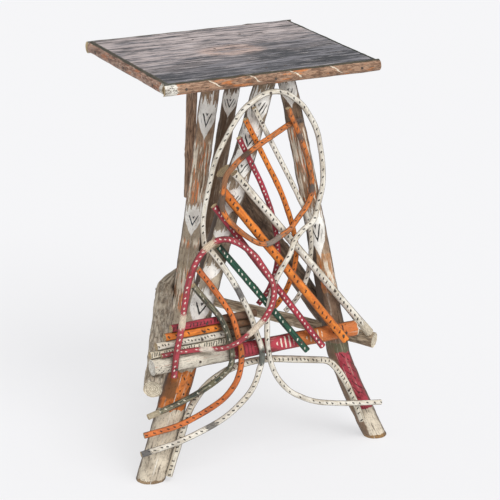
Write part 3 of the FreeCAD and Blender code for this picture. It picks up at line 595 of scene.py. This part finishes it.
def close_finish(add, tone, rough, height, depth_mm, ior=PAINT_IOR, metal=0):
    """Joins colour, roughness and relief to a surface."""
    add("end", add("surface", tone, rough, add("relief", height, depth_mm * MM), ior, metal))


MM_PER_METRE = 1000
GRAIN_SQUEEZE = 0.02


def stick_space(add, squeeze=GRAIN_SQUEEZE):
    """How far along in mm, how far round from the facing side in turns, and a seamless place for grain."""
    metres, round_share, _ = add("split", add("map"))
    along = metres * MM_PER_METRE
    turn = round_share - 0.5
    angle = turn * (2 * math.pi)
    return along, turn, add("join", add("COSINE", angle), add("SINE", angle), along * squeeze)


# %% Wear that every painted stick shares
BARE_WOOD = "#8A7663"
BARE_DARK = "#4E4034"
SIDE_TURN = 0.25


def wood_fibre(add, grain):
    return add("noise", grain, 7, 6, 0.65)


def bare_bark(add, grain, fibre):
    """Dry wood with dark fibres that run along the stick, and pale worn places."""
    pale = add("step", add("noise", grain, 1.6), 0.42, 0.66)
    tone = add("mix", add("step", fibre, 0.36, 0.62), BARE_DARK, BARE_WOOD)
    return add("mix", pale * 0.45, tone, "#B3A48E")


def worn_finish(add, painted, turn, grain, chips, side_shade_width, rough=0.62):
    """Chips, dirt, cracks and bare patches over paint; the dark side band is thin paint and painted shade.
    """
    fibre = wood_fibre(add, grain)
    flake = add("noise", grain, 4.5, 6, 0.68) + fibre * 0.28
    gone = add("step", flake, chips + 0.05, chips)
    edge = abs(abs(turn) - SIDE_TURN) + (flake - 0.62) * 0.16
    # A dark band down both sides, where the stick turns away from the front: thin paint, and painted shade
    # that outlines the stick.
    thin_paint_and_side_shade = add("step", edge, side_shade_width, side_shade_width * 0.3)
    dirt = add("step", add("noise", add("place"), 38, 5, 0.6), 0.42, 0.7)
    aged = add("darken", dirt * 0.38, painted, "#7A6856")
    crack = add("step", add("noise", grain, 11, 4, 0.7), 0.4, 0.33)
    aged = add("darken", crack * 0.6, aged, "#3A2E25")
    tone = add("mix", gone, aged, bare_bark(add, grain, fibre))
    # Dark brown down both sides: thin paint and painted shade.
    tone = add("mix", thin_paint_and_side_shade * 0.88, tone, "#4E3D2F")
    patch, _, _, bare = add("bare")
    ragged = bare + (0.62 - flake) * 2.2
    stripped = add("step", ragged, 0.45, 0.6) * (bare > 0.01)
    worn = add("mix", add("step", fibre, 0.58, 0.38) * 0.5, patch, "#3A3029")
    tone = add("mix", stripped * 0.92, tone, worn)
    gone = add("MAXIMUM", gone, stripped)
    close_finish(add, tone, rough + gone * 0.22, fibre * 0.8 - gone * 0.35 - crack * 0.5, 0.7)


# %% [markdown]
# ### Dashed paint
# The twigs carry a row of short slanted strokes, white on the dark colours
# and black on the pale ones. A stroke is a small slanted box in the stick's
# own map, repeated every dozen millimetres, with a random lean and shift for
# each so that it reads as brushwork. The row comes again on the far side.

# %% Dashed twigs
GIRTH = 36
BLACK_STROKE = "#231D19"
BROWN_STROKE = "#2B1D14"
BRUSH_EDGE = 0.25
SKIPPED = 0.06
# Width in turns of the dark band down each side of a twig: thin paint and painted shade.
STICK_SIDE_SHADE = 0.125


def dashed_paint(name, base, second, pitch, length, width, lean, stroke=BLACK_STROKE, chips=0.48):
    """Sizes of the strokes are in mm, their lean from the stick's run in degrees."""
    finish, add = new_finish(name)
    along, turn, grain = stick_space(add)
    sway = add("noise", grain, 3, 2) - 0.5
    steps = along / pitch
    luck, tints = add("chance", add("FLOOR", steps))
    shift, slide, twist = add("split", tints)
    near = (add("FRACT", steps) - 0.5) * pitch + (shift - 0.5) * (pitch * 0.3)
    across = (add("FRACT", turn * 2 + 0.5) - 0.5) * (GIRTH / 2) + (slide - 0.5) * 2.4 + sway * 3
    tilt = math.radians(lean) + (twist - 0.5) * 0.7
    cosine, sine = add("COSINE", tilt), add("SINE", tilt)
    inside = luck > SKIPPED
    for away, size in ((near * cosine + across * sine, length), (across * cosine - near * sine, width)):
        inside = inside * add("step", abs(away), size / 2 + BRUSH_EDGE, size / 2 - BRUSH_EDGE)
    ground = add("mix", add("step", add("noise", grain, 1.8, 5, 0.62), 0.42, 0.6), base, second)
    worn_finish(add, add("mix", inside * 0.94, ground, stroke), turn, grain, chips, STICK_SIDE_SHADE)
    return finish


# Brushed house paint, white: chalky and a little blotchy, with crisp black strokes and brown sides of thin
# paint and painted shade
WHITE = dashed_paint("dashed off-white paint", "#F0EBDF", "#DCD2BF", 11.5, 5, 2.4, 38)
SPARSE_WHITE = dashed_paint("off-white paint with wide dashes", "#F0EBDF", "#D9CFBC", 15.5, 5, 2.6, 38)
CLOSE_WHITE = dashed_paint("off-white paint with close ticks", "#EFE9DC", "#D7CCB9", 6.4, 3.4, 2.2, 38)
ARCH_WHITE = dashed_paint("off-white paint with short ticks", "#EAE3D3", "#CFC3AD", 9, 5, 2.2, 62)
CREAM = dashed_paint("cream paint with close strokes", "#EDE5D2", "#D5C9B1", 4.8, 1.7, 7, 14)
# Brushed house paint, coloured: strong dull hues that go brown where the wood shows through
ORANGE = dashed_paint("dashed orange paint", "#F08C32", "#D8752F", 13, 5, 2.4, 38, BROWN_STROKE)
TAIL_ORANGE = dashed_paint("dashed brick orange paint", "#E07C3C", "#C56A3A", 13, 5, 2.4, 38, BROWN_STROKE)
WORN_ORANGE = dashed_paint("rubbed orange paint", "#E27F35", "#A96F48", 15, 4.4, 2.2, 38, "#3A2619", 0.54)
RED_PAINT = dashed_paint("dashed red paint", "#B83C4B", "#94303D", 9.4, 3.9, 2.2, 28, "#F6EEE4")
WORN_RED = dashed_paint("rubbed red paint", "#B9434F", "#93343F", 9.4, 3.9, 2.2, 28, "#F3E6DA", 0.53)
RED_TICKED = dashed_paint("red paint with black ticks", "#B83C4B", "#96303F", 6.6, 1.9, 5.6, 20, "#2A1A18")
GREEN = dashed_paint("dashed dark green paint", "#265A44", "#173B2E", 11, 4.6, 2.1, 30, "#ECE8DA")
OLIVE = dashed_paint("dashed olive paint", "#39423A", "#908A70", 13, 4.6, 2.2, 40, "#E2DDCB", 0.56)
print("dashed paints ready")


# %% [markdown]
# ### Bare bark and sawn ends
# The back posts, the brace and the side stretchers were never painted. Their
# bark is grey-brown with dark furrows along the stick. A sawn end shows pale
# wood with growth rings, greyed by dust.

# %% Bark and end grain
BARK_SQUEEZE = 0.011
RINGS_PER_METRE = 330


def bark_finish(name, light, dark, pale, furrow):
    finish, add = new_finish(name)
    _, _, grain = stick_space(add, BARK_SQUEEZE)
    fibre = add("noise", grain, 3.2, 6, 0.62)
    wood = add("mix", add("step", fibre, 0.36, 0.62), dark, light)
    lichen = add("step", add("noise", add("place"), 26, 5, 0.6), 0.54, 0.66)
    tone = add("mix", lichen * 0.55, wood, pale)
    groove = add("step", abs(add("noise", grain, furrow, 4, 0.6) - 0.5), 0, 0.05)
    tone = add("mix", (1 - groove) * 0.55, tone, "#3A2F26")
    close_finish(add, tone, 0.86, groove * 0.7 + fibre * 0.5, 1.1)
    return finish


def end_grain(name, pale, ring):
    finish, add = new_finish(name)
    place = add("place")
    sway = (add("noise", place, 120) - 0.5) * 0.004
    rings = add("FRACT", (add("length", add("map")) + sway) * RINGS_PER_METRE)
    tone = add("mix", add("step", rings, 0.25, 0.85), pale, ring)
    dust = add("step", add("noise", place, 210, 5), 0.42, 0.64)
    tone = add("mix", dust * 0.5, tone, "#8B7C69")
    close_finish(add, tone, 0.85, rings + dust, 0.3)
    return finish


# Dry bark left on the pole: dull, deeply lined along the stick, with pale lichen specks
DARK_BARK = bark_finish("dark brown bark", "#84705C", "#54453A", "#A1917E", 2.4)
WARM_BARK = bark_finish("warm brown bark", "#C09E84", "#8E705A", "#CDB8A2", 2.2)
TAN_BARK = bark_finish("tan bark", "#C6B399", "#927D66", "#D8CBB7", 2)
GREY_BARK = bark_finish("grey furrowed bark", "#C9BDAA", "#968673", "#D6CDBF", 1.9)
# Sawn wood with rings 3 mm apart, wide enough to show, and dust that takes the shine away
PALE_END = end_grain("pale sawn end", "#CDB992", "#9C8260")
GREY_END = end_grain("dusty sawn end", "#C9BFAE", "#94846F")
WHITE_END = end_grain("whitened sawn end", "#F0EEE6", "#D6CFC0")
CREAM_END = end_grain("cream sawn end", "#E6DDC8", "#B3A287")

# %% [markdown]
# ### Painted poles
# Each leg is banded with colour along its length. White petals lie over the
# bands, pointed below and ragged above, with black V strokes low down. Cream
# and orange flames run between them; one side of a leg gets painted shade.
# The front stretcher is painted the same way, but its petals hold a row of
# upright dabs. A band's edge and each petal's outline are bent a little by
# noise, as a brush would bend them. The far side carries the petals as well.

# %% Leg paint
PETAL = "#FAF7F0"
INK = "#231F20"
FLAMES = ((5.7, 0.54, "#DE8650"), (4.6, 0.52, "#F2E6D2"))
# Width in turns of the dark band down each side of a leg: thin paint and painted shade.
LEG_SIDE_SHADE = 0.11


def leg_paint(name, length, bands, petals, striped, ticked, shaded_sides=(), chips=0.45):
    """Places are shares of the length, widths are in turns.

    bands: start and colour; petals: middle, half length, half width and, if not ink on white, two colours;
    striped: low and high; ticked: low, high and colour; lined, a painted shade: low, high, side, half width
    and colour.
    """
    finish, add = new_finish(name)
    along, turn, grain = stick_space(add)
    sway = add("noise", grain, 2.4) - 0.5
    even_share = along / length
    share = even_share + sway * 0.022
    fibre = wood_fibre(add, grain)
    ramp = add("ramp", share)
    stops = ramp.socket.node.color_ramp
    stops.interpolation = "CONSTANT"
    while len(stops.elements) < len(bands):
        stops.elements.new(0.5)
    for stop, (start, _) in zip(stops.elements, bands):
        stop.position = start
    for stop, (_, tint) in zip(stops.elements, bands):
        stop.color = colour(tint)
    thread = add("scale", grain, (1, 1, 0.22))
    strand = add("noise", thread, 4.2, 4, 0.6)
    shade = add("mix", add("step", strand, 0.56, 0.68) * 0.36, ramp, "#E2D7C3")
    shade = add("mix", add("step", fibre, 0.5, 0.34) * 0.45, shade, BARE_DARK)
    shade = add("mix", add("step", strand, 0.41, 0.36) * 0.7, shade, "#4E3C2D")
    folded = abs(add("FRACT", turn * 2 + 0.5) - 0.5) * 0.5 + sway * 0.02
    for low, high in striped:
        zone = add("step", share, low, low + 0.02) * add("step", share, high, high - 0.02)
        for scale, least, tint in FLAMES:
            flame = add("step", add("noise", thread, scale, 2), least, least + 0.035)
            shade = add("mix", zone * flame, shade, tint)
    for low, high, tint in ticked:
        wave = add("FRACT", turn * 9 + share * 38)
        tick = add("step", abs(wave - 0.5), 0.13, 0.09)
        tick = tick * add("step", add("noise", grain, 5, 1), 0.46, 0.52)
        tick = tick * add("step", turn, -0.04, 0.05)
        shade = add("mix", (share > low) * (share < high) * tick, shade, tint)
    # Painted shade: a darker colour laid down one side of the leg.
    for low, high, centre, half, tint in shaded_sides:
        zone = add("step", share, low, low + 0.01) * add("step", share, high, high - 0.03)
        band = add("step", abs(turn - centre + sway * 0.08), half + 0.008, half - 0.008)
        shade = add("mix", zone * band, shade, tint)
    for middle, half, wide, *tints in petals:
        fill, stroke = tints or (PETAL, INK)
        run = (share - middle) / half
        fringe = (strand - 0.5) * (add("step", run, 0, 0.9) * 4)
        edge = add("step", run, -1.15, 0.3) * add("step", run + fringe, 1.15, 0.75)
        inset = edge * wide - folded
        shade = add("mix", add("step", inset, -0.004, 0.008), shade, fill)
        if fill == PETAL:
            marks, reach = run * 1.9 + folded * -16, 0.46
        else:
            marks, reach = (even_share - middle) / half * 3.6 + folded * -1.6, 0.80
        mark = add("step", abs(add("FRACT", marks) - 0.5), 0.2, 0.14)
        mark = mark * add("step", abs(run + 0.05), reach, reach - 0.08)
        mark = mark * add("step", inset, wide * 0.36, wide * 0.44)
        shade = add("mix", mark, shade, stroke)
    worn_finish(add, shade, turn, grain, chips, LEG_SIDE_SHADE, rough=0.68)
    return finish


# Brushed house paint on half-peeled poles: bright petals on dull greys and browns with a long grain
GREY_WOOD = "#B0A18C"
OFF_WHITE = "#E0D3BD"
left_leg_paint = leg_paint(
    "left leg paint", 757,
    ((0, "#A08768"), (0.006, OFF_WHITE), (0.185, "#D57A34"), (0.285, "#CFC3AE"), (0.40, "#C0B29C"),
     (0.52, "#B0A08A"), (0.66, "#A3907A"), (0.84, "#AC9B84"), (0.955, "#937D64")),
    ((0.925, 0.046, 0.22), (0.850, 0.040, 0.21),
     (0.782, 0.036, 0.19, PETAL, "#3E463C"), (0.705, 0.038, 0.20),
     (0.62, 0.016, 0.12, PETAL, PETAL), (0.527, 0.018, 0.12, PETAL, PETAL), (0.44, 0.045, 0.17)),
    (), ((0.215, 0.28, "#4A2E18"),),
    # Painted shade down the leg's left side.
    ((0.48, 0.93, -0.25, 0.125, "#54453A"), (0.21, 0.28, -0.13, 0.13, "#8A5A33")))
right_leg_paint = leg_paint(
    "right leg paint", 743,
    ((0, "#9A7648"), (0.010, OFF_WHITE), (0.095, "#B23A4A"), (0.272, "#6E6A50"), (0.30, "#8C725C"),
     (0.436, "#BE8B5E"), (0.54, "#A68A70"), (0.67, "#A07E62"), (0.885, "#826952"), (0.94, "#907A64")),
    ((0.965, 0.034, 0.18), (0.60, 0.066, 0.19)),
    ((0.67, 0.885), (0.436, 0.535)), ((0.13, 0.27, "#5E1E27"),),
    # Painted shade down the leg's left side.
    ((0, 0.30, -0.25, 0.205, "#866E58"), (0.30, 0.68, -0.25, 0.18, "#5A4A3C")))
rear_leg_paint = leg_paint(
    "rear leg paint", 732,
    ((0, GREY_WOOD), (0.30, "#A8977F"), (0.44, "#B0A08A"), (0.60, "#A88A6E"), (0.80, "#9A7C60")),
    ((0.838, 0.052, 0.18), (0.557, 0.040, 0.18, PETAL, "#2C3240")),
    ((0.60, 0.79), (0.29, 0.43), (0.475, 0.512)), ())
post_paint = leg_paint(
    "right post paint", 400, ((0, "#7A634E"), (0.55, "#6E5844")),
    ((0.715, 0.062, 0.21),), (), ())
stretcher_paint = leg_paint(
    "front stretcher paint", 409,
    ((0, "#DED6C5"), (0.38, "#A83A46"), (0.69, "#CD7437"), (0.99, "#CFC4B0")),
    ((0.44, 0.06, 0.20, "#B03C4A", "#7E2A33"), (0.62, 0.075, 0.22, "#B83E4C", "#F0E2D2"),
     (0.765, 0.07, 0.22, "#D67C3C", "#F2E2C6"), (0.895, 0.06, 0.22, "#CD7437", "#2A1D14")),
    (), ((0, 0.09, INK),))
print("leg paints ready")

# %% [markdown]
# ## Poles
# The three legs and two posts are natural poles with a taper, lumps and a few
# knots. Their ends are cut level, so the rings of the roll stay level too.

# %% Roll the poles
UP_STEPS = [step / 24 for step in range(25)]
for label, pole, paint, slot, knots, seed in (
        ("front_left_leg", LEFT, left_leg_paint, "leg_paint", 5, 11),
        ("front_right_leg", RIGHT, right_leg_paint, "leg_paint", 4, 12),
        ("rear_leg", REAR, rear_leg_paint, "leg_paint", 5, 13),
        ("rear_left_post", LEFT_POST, WARM_BARK, "bark", 3, 14),
        ("rear_right_post", RIGHT_POST, post_paint, "bark", 3, 15)):
    piece = roll_stick(f"{label}_rolled", [pole.at(up) for up in UP_STEPS], pole.dia, (paint, GREY_END),
                       lumps=0.06, ridges=0.05, level=True, around=32, step=4, knots=knots, edge=1.5,
                       seed=seed)
    settle(piece, slot, label)
print("poles rolled")

# %% [markdown]
# ## Straight sticks
# The brace, the stretchers, the stacked rails and the slats are sawn square.
# The side stretchers keep a deeply furrowed bark, so their ridges are real
# shape and not only shading. The left one ends in a root that thins out up
# along the rear leg, and two sticks flare a little at the front.

# %% Roll the straight sticks
STICK_LOOKS = {
    "diagonal_brace": (DARK_BARK, PALE_END, "bark", 0.06, 0.10, 26, 3),
    "front_stretcher": (stretcher_paint, WHITE_END, "white_paint", 0.05, 0.03, 26, 3),
    "left_stretcher": (GREY_BARK, CREAM_END, "bark", 0.08, 0.22, 44, 4),
    "right_stretcher": (TAN_BARK, CREAM_END, "bark", 0.06, 0.12, 26, 3),
}
LEDGE_LOOKS = {
    "cream_ledge_rail": (CREAM, "white_paint"), "white_ledge_rail": (CLOSE_WHITE, "white_paint"),
    "orange_ledge_rail": (ORANGE, "orange_paint"), "red_ledge_rail": (RED_TICKED, "red_paint")}
SLAT_LOOKS = {
    "long_white_slat": (WHITE, "white_paint"), "long_orange_slat": (ORANGE, "orange_paint"),
    "long_red_slat": (RED_PAINT, "red_paint"), "long_green_slat": (GREEN, "green_paint")}
for ridges, knots, looks in ((0.03, 1, LEDGE_LOOKS), (0.02, 2, SLAT_LOOKS)):
    for label, (paint, slot) in looks.items():
        STICK_LOOKS[label] = (paint, PALE_END, slot, 0.05, ridges, 16, knots)
STICK_BARE = {
    "cream_ledge_rail": ((0.72, 1, "#6A5644"),),
    "white_ledge_rail": ((0.66, 1, "#6A5644"),),
    "orange_ledge_rail": ((0.58, 1, "#715A45"),),
    "red_ledge_rail": ((0.58, 1, "#7A624C"),),
    "long_white_slat": ((0.93, 1, "#D2C5AE"),),
}
TAPERS = {
    "long_white_slat": (*(14,) * 11, 15, 17),
    "right_stretcher": (18, 20, 22, 24, 29),
    "left_stretcher": (8, 17, 26, *(LEFT_DIA,) * 27),
    "red_arch": (*(RED,) * 14, 11.5, 10.5, 10, 9.5, 9, 8.5),
}
ROOT = V((20, -16, 38))
for seed, (label, (start, end, dia)) in enumerate(STICKS.items(), start=30):
    paint, end_finish, slot, lumps, ridges, around, knots = STICK_LOOKS[label]
    path = [start, end]
    if label == "left_stretcher":
        path = rounded([start + ROOT, start + ROOT * 0.25, start, end])
    piece = roll_stick(f"{label}_rolled", path, TAPERS.get(label, dia), (paint, end_finish), lumps=lumps,
                       ridges=ridges, around=around, knots=knots, bare=STICK_BARE.get(label, ()), seed=seed)
    settle(piece, slot, label)
print("straight sticks rolled")

# %% [markdown]
# ## Bent twigs
# Green twigs were bent by hand and nailed while they could still move, so
# each one follows its own path over and under its neighbours. Where a twig
# was rubbed or bruised it has a bare patch, from one share of its length to
# another. The red arch thins towards its lower end.

# %% Roll the bent twigs
TWIG_LOOKS = {
    "upper_red_twig": (RED_PAINT, "red_paint", ()),
    "upper_orange_twig": (ORANGE, "orange_paint", ()),
    "upper_white_twig": (WHITE, "white_paint", ()),
    "low_arch": (ARCH_WHITE, "white_paint", ()),
    "white_tail_twig": (WHITE, "white_paint", (
        (0.17, 0.22, "#6C6A68"), (0.40, 0.46, "#59605A"), (0.72, 0.76, "#77746F"), (0.965, 1, "#5E5E60"))),
    "orange_tail_twig": (TAIL_ORANGE, "orange_paint", ()),
    "olive_tail_twig": (OLIVE, "olive_paint", ((0.60, 0.64, "#7E7A5E"), (0.93, 1, "#C2B498"))),
    "orange_ring": (WORN_ORANGE, "orange_paint", (
        (0, 0.025, "#5E5853"), (0.18, 0.215, "#54463C"), (0.24, 0.30, "#A0704E"), (0.32, 0.37, "#6E5F52"),
        (0.525, 0.585, "#8A837A"), (0.735, 0.765, "#5E5B58"), (0.895, 0.925, "#6A6058"))),
    "white_loop": (SPARSE_WHITE, "white_paint", ()),
    "red_arch": (WORN_RED, "red_paint", (
        (0.13, 0.17, "#E6D6BE"), (0.34, 0.38, "#E2D0B4"), (0.70, 0.76, "#E8DAC4"),
        (0.855, 0.895, "#EDE3D2"))),
}
for seed, (label, (dia, points)) in enumerate(TWIGS.items(), start=60):
    paint, slot, bare = TWIG_LOOKS[label]
    piece = roll_stick(f"{label}_rolled", rounded(points), TAPERS.get(label, dia), (paint, PALE_END),
                       lumps=0.06, ridges=0.02, around=14, step=2.6, knots=2, bare=bare, seed=seed)
    settle(piece, slot, label)
print("bent twigs rolled")

# %% [markdown]
# ## The top
# The board is one plank, painted dark and rubbed by use. Its arrises are
# worn, and long grooves run with the grain. A cube is cut up and bevelled,
# and a little noise is pushed into its upper face.


# %% Board paint
SMUDGE = (-0.10, -0.42, 0)


def board_finish():
    """Dark paint rubbed down: grey streaks with the grain, pale at the back, a half gloss in the hollows."""
    finish, add = new_finish("worn dark board paint")
    place = add("place")
    stretched = add("stretch", place, (3, 26, 26))
    streak = add("noise", stretched, 4, 9, 0.74)
    fine = add("noise", stretched, 5.2, 7, 0.76)
    cloud = add("noise", place, 7, 5, 0.6)
    across, back, _ = add("split", place)
    tone = add("mix", add("step", streak, 0.43, 0.59), "#2C2E34", "#807E84")
    rubbed = add("step", back - across * 0.33 + cloud * 0.26, 0.045, 0.19)
    rubbed = rubbed * add("step", fine, 0.4, 0.58)
    tone = add("mix", rubbed * 0.9, tone, "#C6B7B4")
    rub = add("length", add("stretch", place, (15, 26, 0), SMUDGE))
    rub = add("step", rub + (cloud - 0.5) * 1.2, 1.1, 0.6)
    rub = rub * add("step", fine, 0.38, 0.56)
    tone = add("mix", rub * 0.9, tone, "#CDB0A3")
    scuff = add("step", fine, 0.56, 0.62)
    tone = add("mix", scuff * 0.62, tone, "#C8C0C0")
    groove = add("step", add("noise", stretched, 4.6, 7, 0.74), 0.43, 0.38)
    tone = add("mix", groove * 0.8, tone, "#1C1F26")
    height = streak * 0.6 - groove * 0.8
    close_finish(add, tone, 0.44 + streak * 0.3, height, 0.8)
    return finish


BOARD_PAINT = board_finish()
print("board paint ready")

# %% Model the board
ARRIS = 0.0014
BOARD_CUTS = 30
WEAR_DEPTH = 0.0006
BOARD = V((TOP_WIDTH - 2 * TRIM, TOP_DEPTH - 2 * TRIM, TOP_HEIGHT - UNDERSIDE)) * MM
board_middle = (TOP_MIDDLE + V((0, 0, (TOP_HEIGHT + UNDERSIDE) / 2))) * MM
bpy.ops.object.select_all(action="DESELECT")
bpy.ops.mesh.primitive_cube_add(size=1, location=board_middle)
board = bpy.context.object
board.name = "worn_board"
board.scale = BOARD
bpy.ops.object.transform_apply(location=True, rotation=True, scale=True)
start_edit(board)
bpy.ops.mesh.bevel(offset=ARRIS, segments=2, affect="EDGES")
bpy.ops.mesh.select_all(action="SELECT")
bpy.ops.mesh.subdivide(number_cuts=BOARD_CUTS)
bpy.ops.object.mode_set(mode="OBJECT")
for vertex in board.data.vertices:
    if vertex.co.z > board_middle.z:
        place = vertex.co
        wear = noise.noise(V((place.x * 9, place.y * 60, 3))) * 0.5 + noise.noise(place * 22) * 0.5
        vertex.co.z -= WEAR_DEPTH * (0.5 + wear)
board.data.materials.append(BOARD_PAINT)
select_only(board)
bpy.ops.object.shade_smooth_by_angle(angle=math.radians(40))
settle(board, "top_paint", "top_board")
print("board faces:", len(board.data.polygons))

# %% [markdown]
# ## The edge strips
# A split branch covers each edge of the board: flat against the board, round
# outside. It is rolled as a whole round stick and then cut in half with
# bisect, which is how the maker split it. Slanted cream strokes cross the
# stained wood, which is flecked pale and dark. A dark line of paint follows
# the upper edge, and the front corner on the left is white and cracked.


# %% Strip paint
def strip_paint(name, base, second, line, patch, pale, white_end, strokes):
    finish, add = new_finish(name)
    along, turn, grain = stick_space(add)
    sway = add("noise", grain, 2.4, 3) - 0.5
    shade = add("mix", add("step", add("noise", grain, 2.6, 5, 0.65), 0.42, 0.6), base, second)
    warm = add("step", add("noise", grain, 1.1, 5, 0.65), 0.54, 0.62)
    shade = add("mix", warm * 0.85, shade, patch)
    fleck = add("noise", grain, 6, 4, 0.6)
    shade = add("mix", add("step", fleck, 0.58, 0.64) * 0.8, shade, pale)
    shade = add("mix", add("step", fleck, 0.42, 0.36) * 0.85, shade, "#40301F")
    slant = (along - 55) / 78 - turn * 1.2
    slant = add("FRACT", slant + sway * 0.16)
    leaf = add("step", abs(slant - 0.5), 0.028, 0.016) * add("step", abs(turn + 0.03), 0.16, 0.11)
    leaf = leaf * add("step", along, strokes + 5, strokes)
    shade = add("mix", leaf * 0.85, shade, line)
    end = add("step", along + sway * 10, white_end + 3, white_end)
    vein = abs(add("noise", grain, 2.8, 2) - 0.5)
    shade = add("mix", end, shade, add("mix", add("step", vein, 0.008, 0.03), "#5A4C3E", "#EEEADF"))
    level = add("split", add("place"))[2]
    crest = add("step", level + sway * 0.002, (TOP_HEIGHT - 2.6) * MM, (TOP_HEIGHT - 1.4) * MM)
    shade = add("mix", crest * 0.9, shade, "#33382C")
    # A narrow dark band down both sides: thin paint and painted shade.
    worn_finish(add, shade, turn, grain, 0.50, 0.04, rough=0.6)
    return finish


# Thin stain on split wood: brown and matt, with the grain still to be seen
WARM_STRIP = strip_paint("stained strip with cream strokes", "#AE8A70", "#80604A", "#F2E6D0", "#CC7A3C",
                         "#C9A688", 22, 345)
SIDE_STRIP = strip_paint("stained side strip", "#B08E7C", "#7A5848", "#E6D9C4", "#B5714A", "#E2CDB8",
                         12, -20)
# The same wood under dark paint: nearly black, so the right edge closes the top
DARK_STRIP = strip_paint("dark green strip", "#3B4038", "#2E332E", "#6E6A55", "#4C4A3C", "#6E6A58",
                         -20, -20)
print("strip paints ready")

# %% Roll and split the strips
SIDE, SEAT, BACK = TOP_WIDTH / 2, TOP_WIDTH / 2 - TRIM, TOP_DEPTH / 2 - TRIM
STRIPS = {
    "front_trim": ((-SIDE, -BACK), (SIDE, -BACK), (0, -1), WARM_STRIP),
    "back_trim": ((-SIDE, BACK), (SIDE, BACK), (0, 1), WARM_STRIP),
    "left_trim": ((-SEAT, -BACK), (-SEAT, BACK), (-1, 0), SIDE_STRIP),
    "right_trim": ((SEAT, -BACK), (SEAT, BACK), (1, 0), DARK_STRIP),
}
STRIP_HEIGHT = TOP_HEIGHT - TRIM
for seed, (label, (start, end, outward, paint)) in enumerate(STRIPS.items(), start=80):
    ends = [TOP_MIDDLE + V((*place, STRIP_HEIGHT)) for place in (start, end)]
    piece = roll_stick(f"{label}_split", ends, 2 * TRIM, (paint, PALE_END), lumps=0.05, ridges=0.03,
                       around=28, step=4, knots=2, edge=1.2, seed=seed)
    start_edit(piece)
    bpy.ops.mesh.bisect(plane_co=ends[0] * MM, plane_no=(*outward, 0), use_fill=True, clear_inner=True)
    end_edit()
    settle(piece, "trim_wood", label)
print("strips:", len(STRIPS))

# %% [markdown]
# ## Nails
# The nails keep their solid shapes. Their steel is dull, brown with rust and
# a little brighter where it was struck.

# %% Nail steel
# Wire nails, struck and rusted: dull brown with a little bare metal, at a metal's usual IOR
nail_steel, add = new_finish("rusted nail steel")
rust = add("step", add("noise", add("place"), 900, 4), 0.42, 0.58)
tone = add("mix", rust, "#6E6862", "#4A3426")
close_finish(add, tone, 0.4 + rust * 0.4, rust, 0.2, ior=None, metal=1 - rust * 0.8)
for label in ("top_nails", "trim_nails", "frame_nails", "lattice_nails"):
    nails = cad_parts[label]
    nails.data.materials.clear()
    nails.data.materials.append(nail_steel)
print("nails painted")

# %% [markdown]
# ## Floor, light and camera
# The table stands on a pale floor that runs past the picture's edge, so there
# is no backdrop to join it, and past its edge the camera sees a wall of the
# same tone. The sky gives an even light and one broad sun gives the soft
# shadow. Together they light a level white sheet to about white, so colours
# render as they are written.

# %% Floor
PAPER = (0.895, 0.895, 0.91, 1)
WALL = (0.905, 0.905, 0.92, 1)
GLOW_SHARE = 0.64
FLOOR_SIZE = 60
# White studio paper with a glow of its own: it stays pale, and the shadow on it is faint
floor_finish, add = new_finish("pale studio floor")
add("end", add("both", GLOW_SHARE, add("sheet", PAPER), add("glow", WALL)))
bpy.ops.object.select_all(action="DESELECT")
bpy.ops.mesh.primitive_plane_add(size=FLOOR_SIZE)
floor = bpy.context.object
floor.name = "floor"
floor.data.materials.append(floor_finish)
print("floor laid")

# %% Light
SKY_STRENGTH, SUN_STRENGTH = 0.60, 1.9
SUN_SPREAD = math.radians(38)
SUN_HEADING = V((-0.05, 0.69, -0.8))
world = bpy.context.scene.world or bpy.data.worlds.new("sky")
bpy.context.scene.world = world
world.use_nodes = True
world.node_tree.nodes.clear()
add = partial(node, world.node_tree)
sky, wall = add("sky", (1, 1, 1, 1), SKY_STRENGTH), add("sky", WALL, 1)
add("sky end", add("both", add("seen"), sky, wall))
bpy.ops.object.light_add(type="SUN", location=(0.2, -3, 4))
sun = bpy.context.object
sun.data.energy = SUN_STRENGTH
sun.data.angle = SUN_SPREAD
sun.rotation_euler = SUN_HEADING.to_track_quat("-Z", "Y").to_euler()
print("light: sky and sun")

# %% Camera
BEARING = math.radians(25.811)
TILT = math.radians(18.821)
CAMERA_PLACE = V((-1639.5, -3469.1, 1672.2)) * MM
SENSOR_WIDTH, LENS = 36, 158.4
looking = V((math.sin(BEARING) * math.cos(TILT), math.cos(BEARING) * math.cos(TILT), -math.sin(TILT)))
bpy.ops.object.camera_add(location=CAMERA_PLACE, rotation=looking.to_track_quat("-Z", "Y").to_euler())
camera = bpy.context.object
camera.data.sensor_width = SENSOR_WIDTH
camera.data.lens = LENS
bpy.context.scene.camera = camera
bpy.context.scene.view_settings.view_transform = "Standard"
print("camera set")
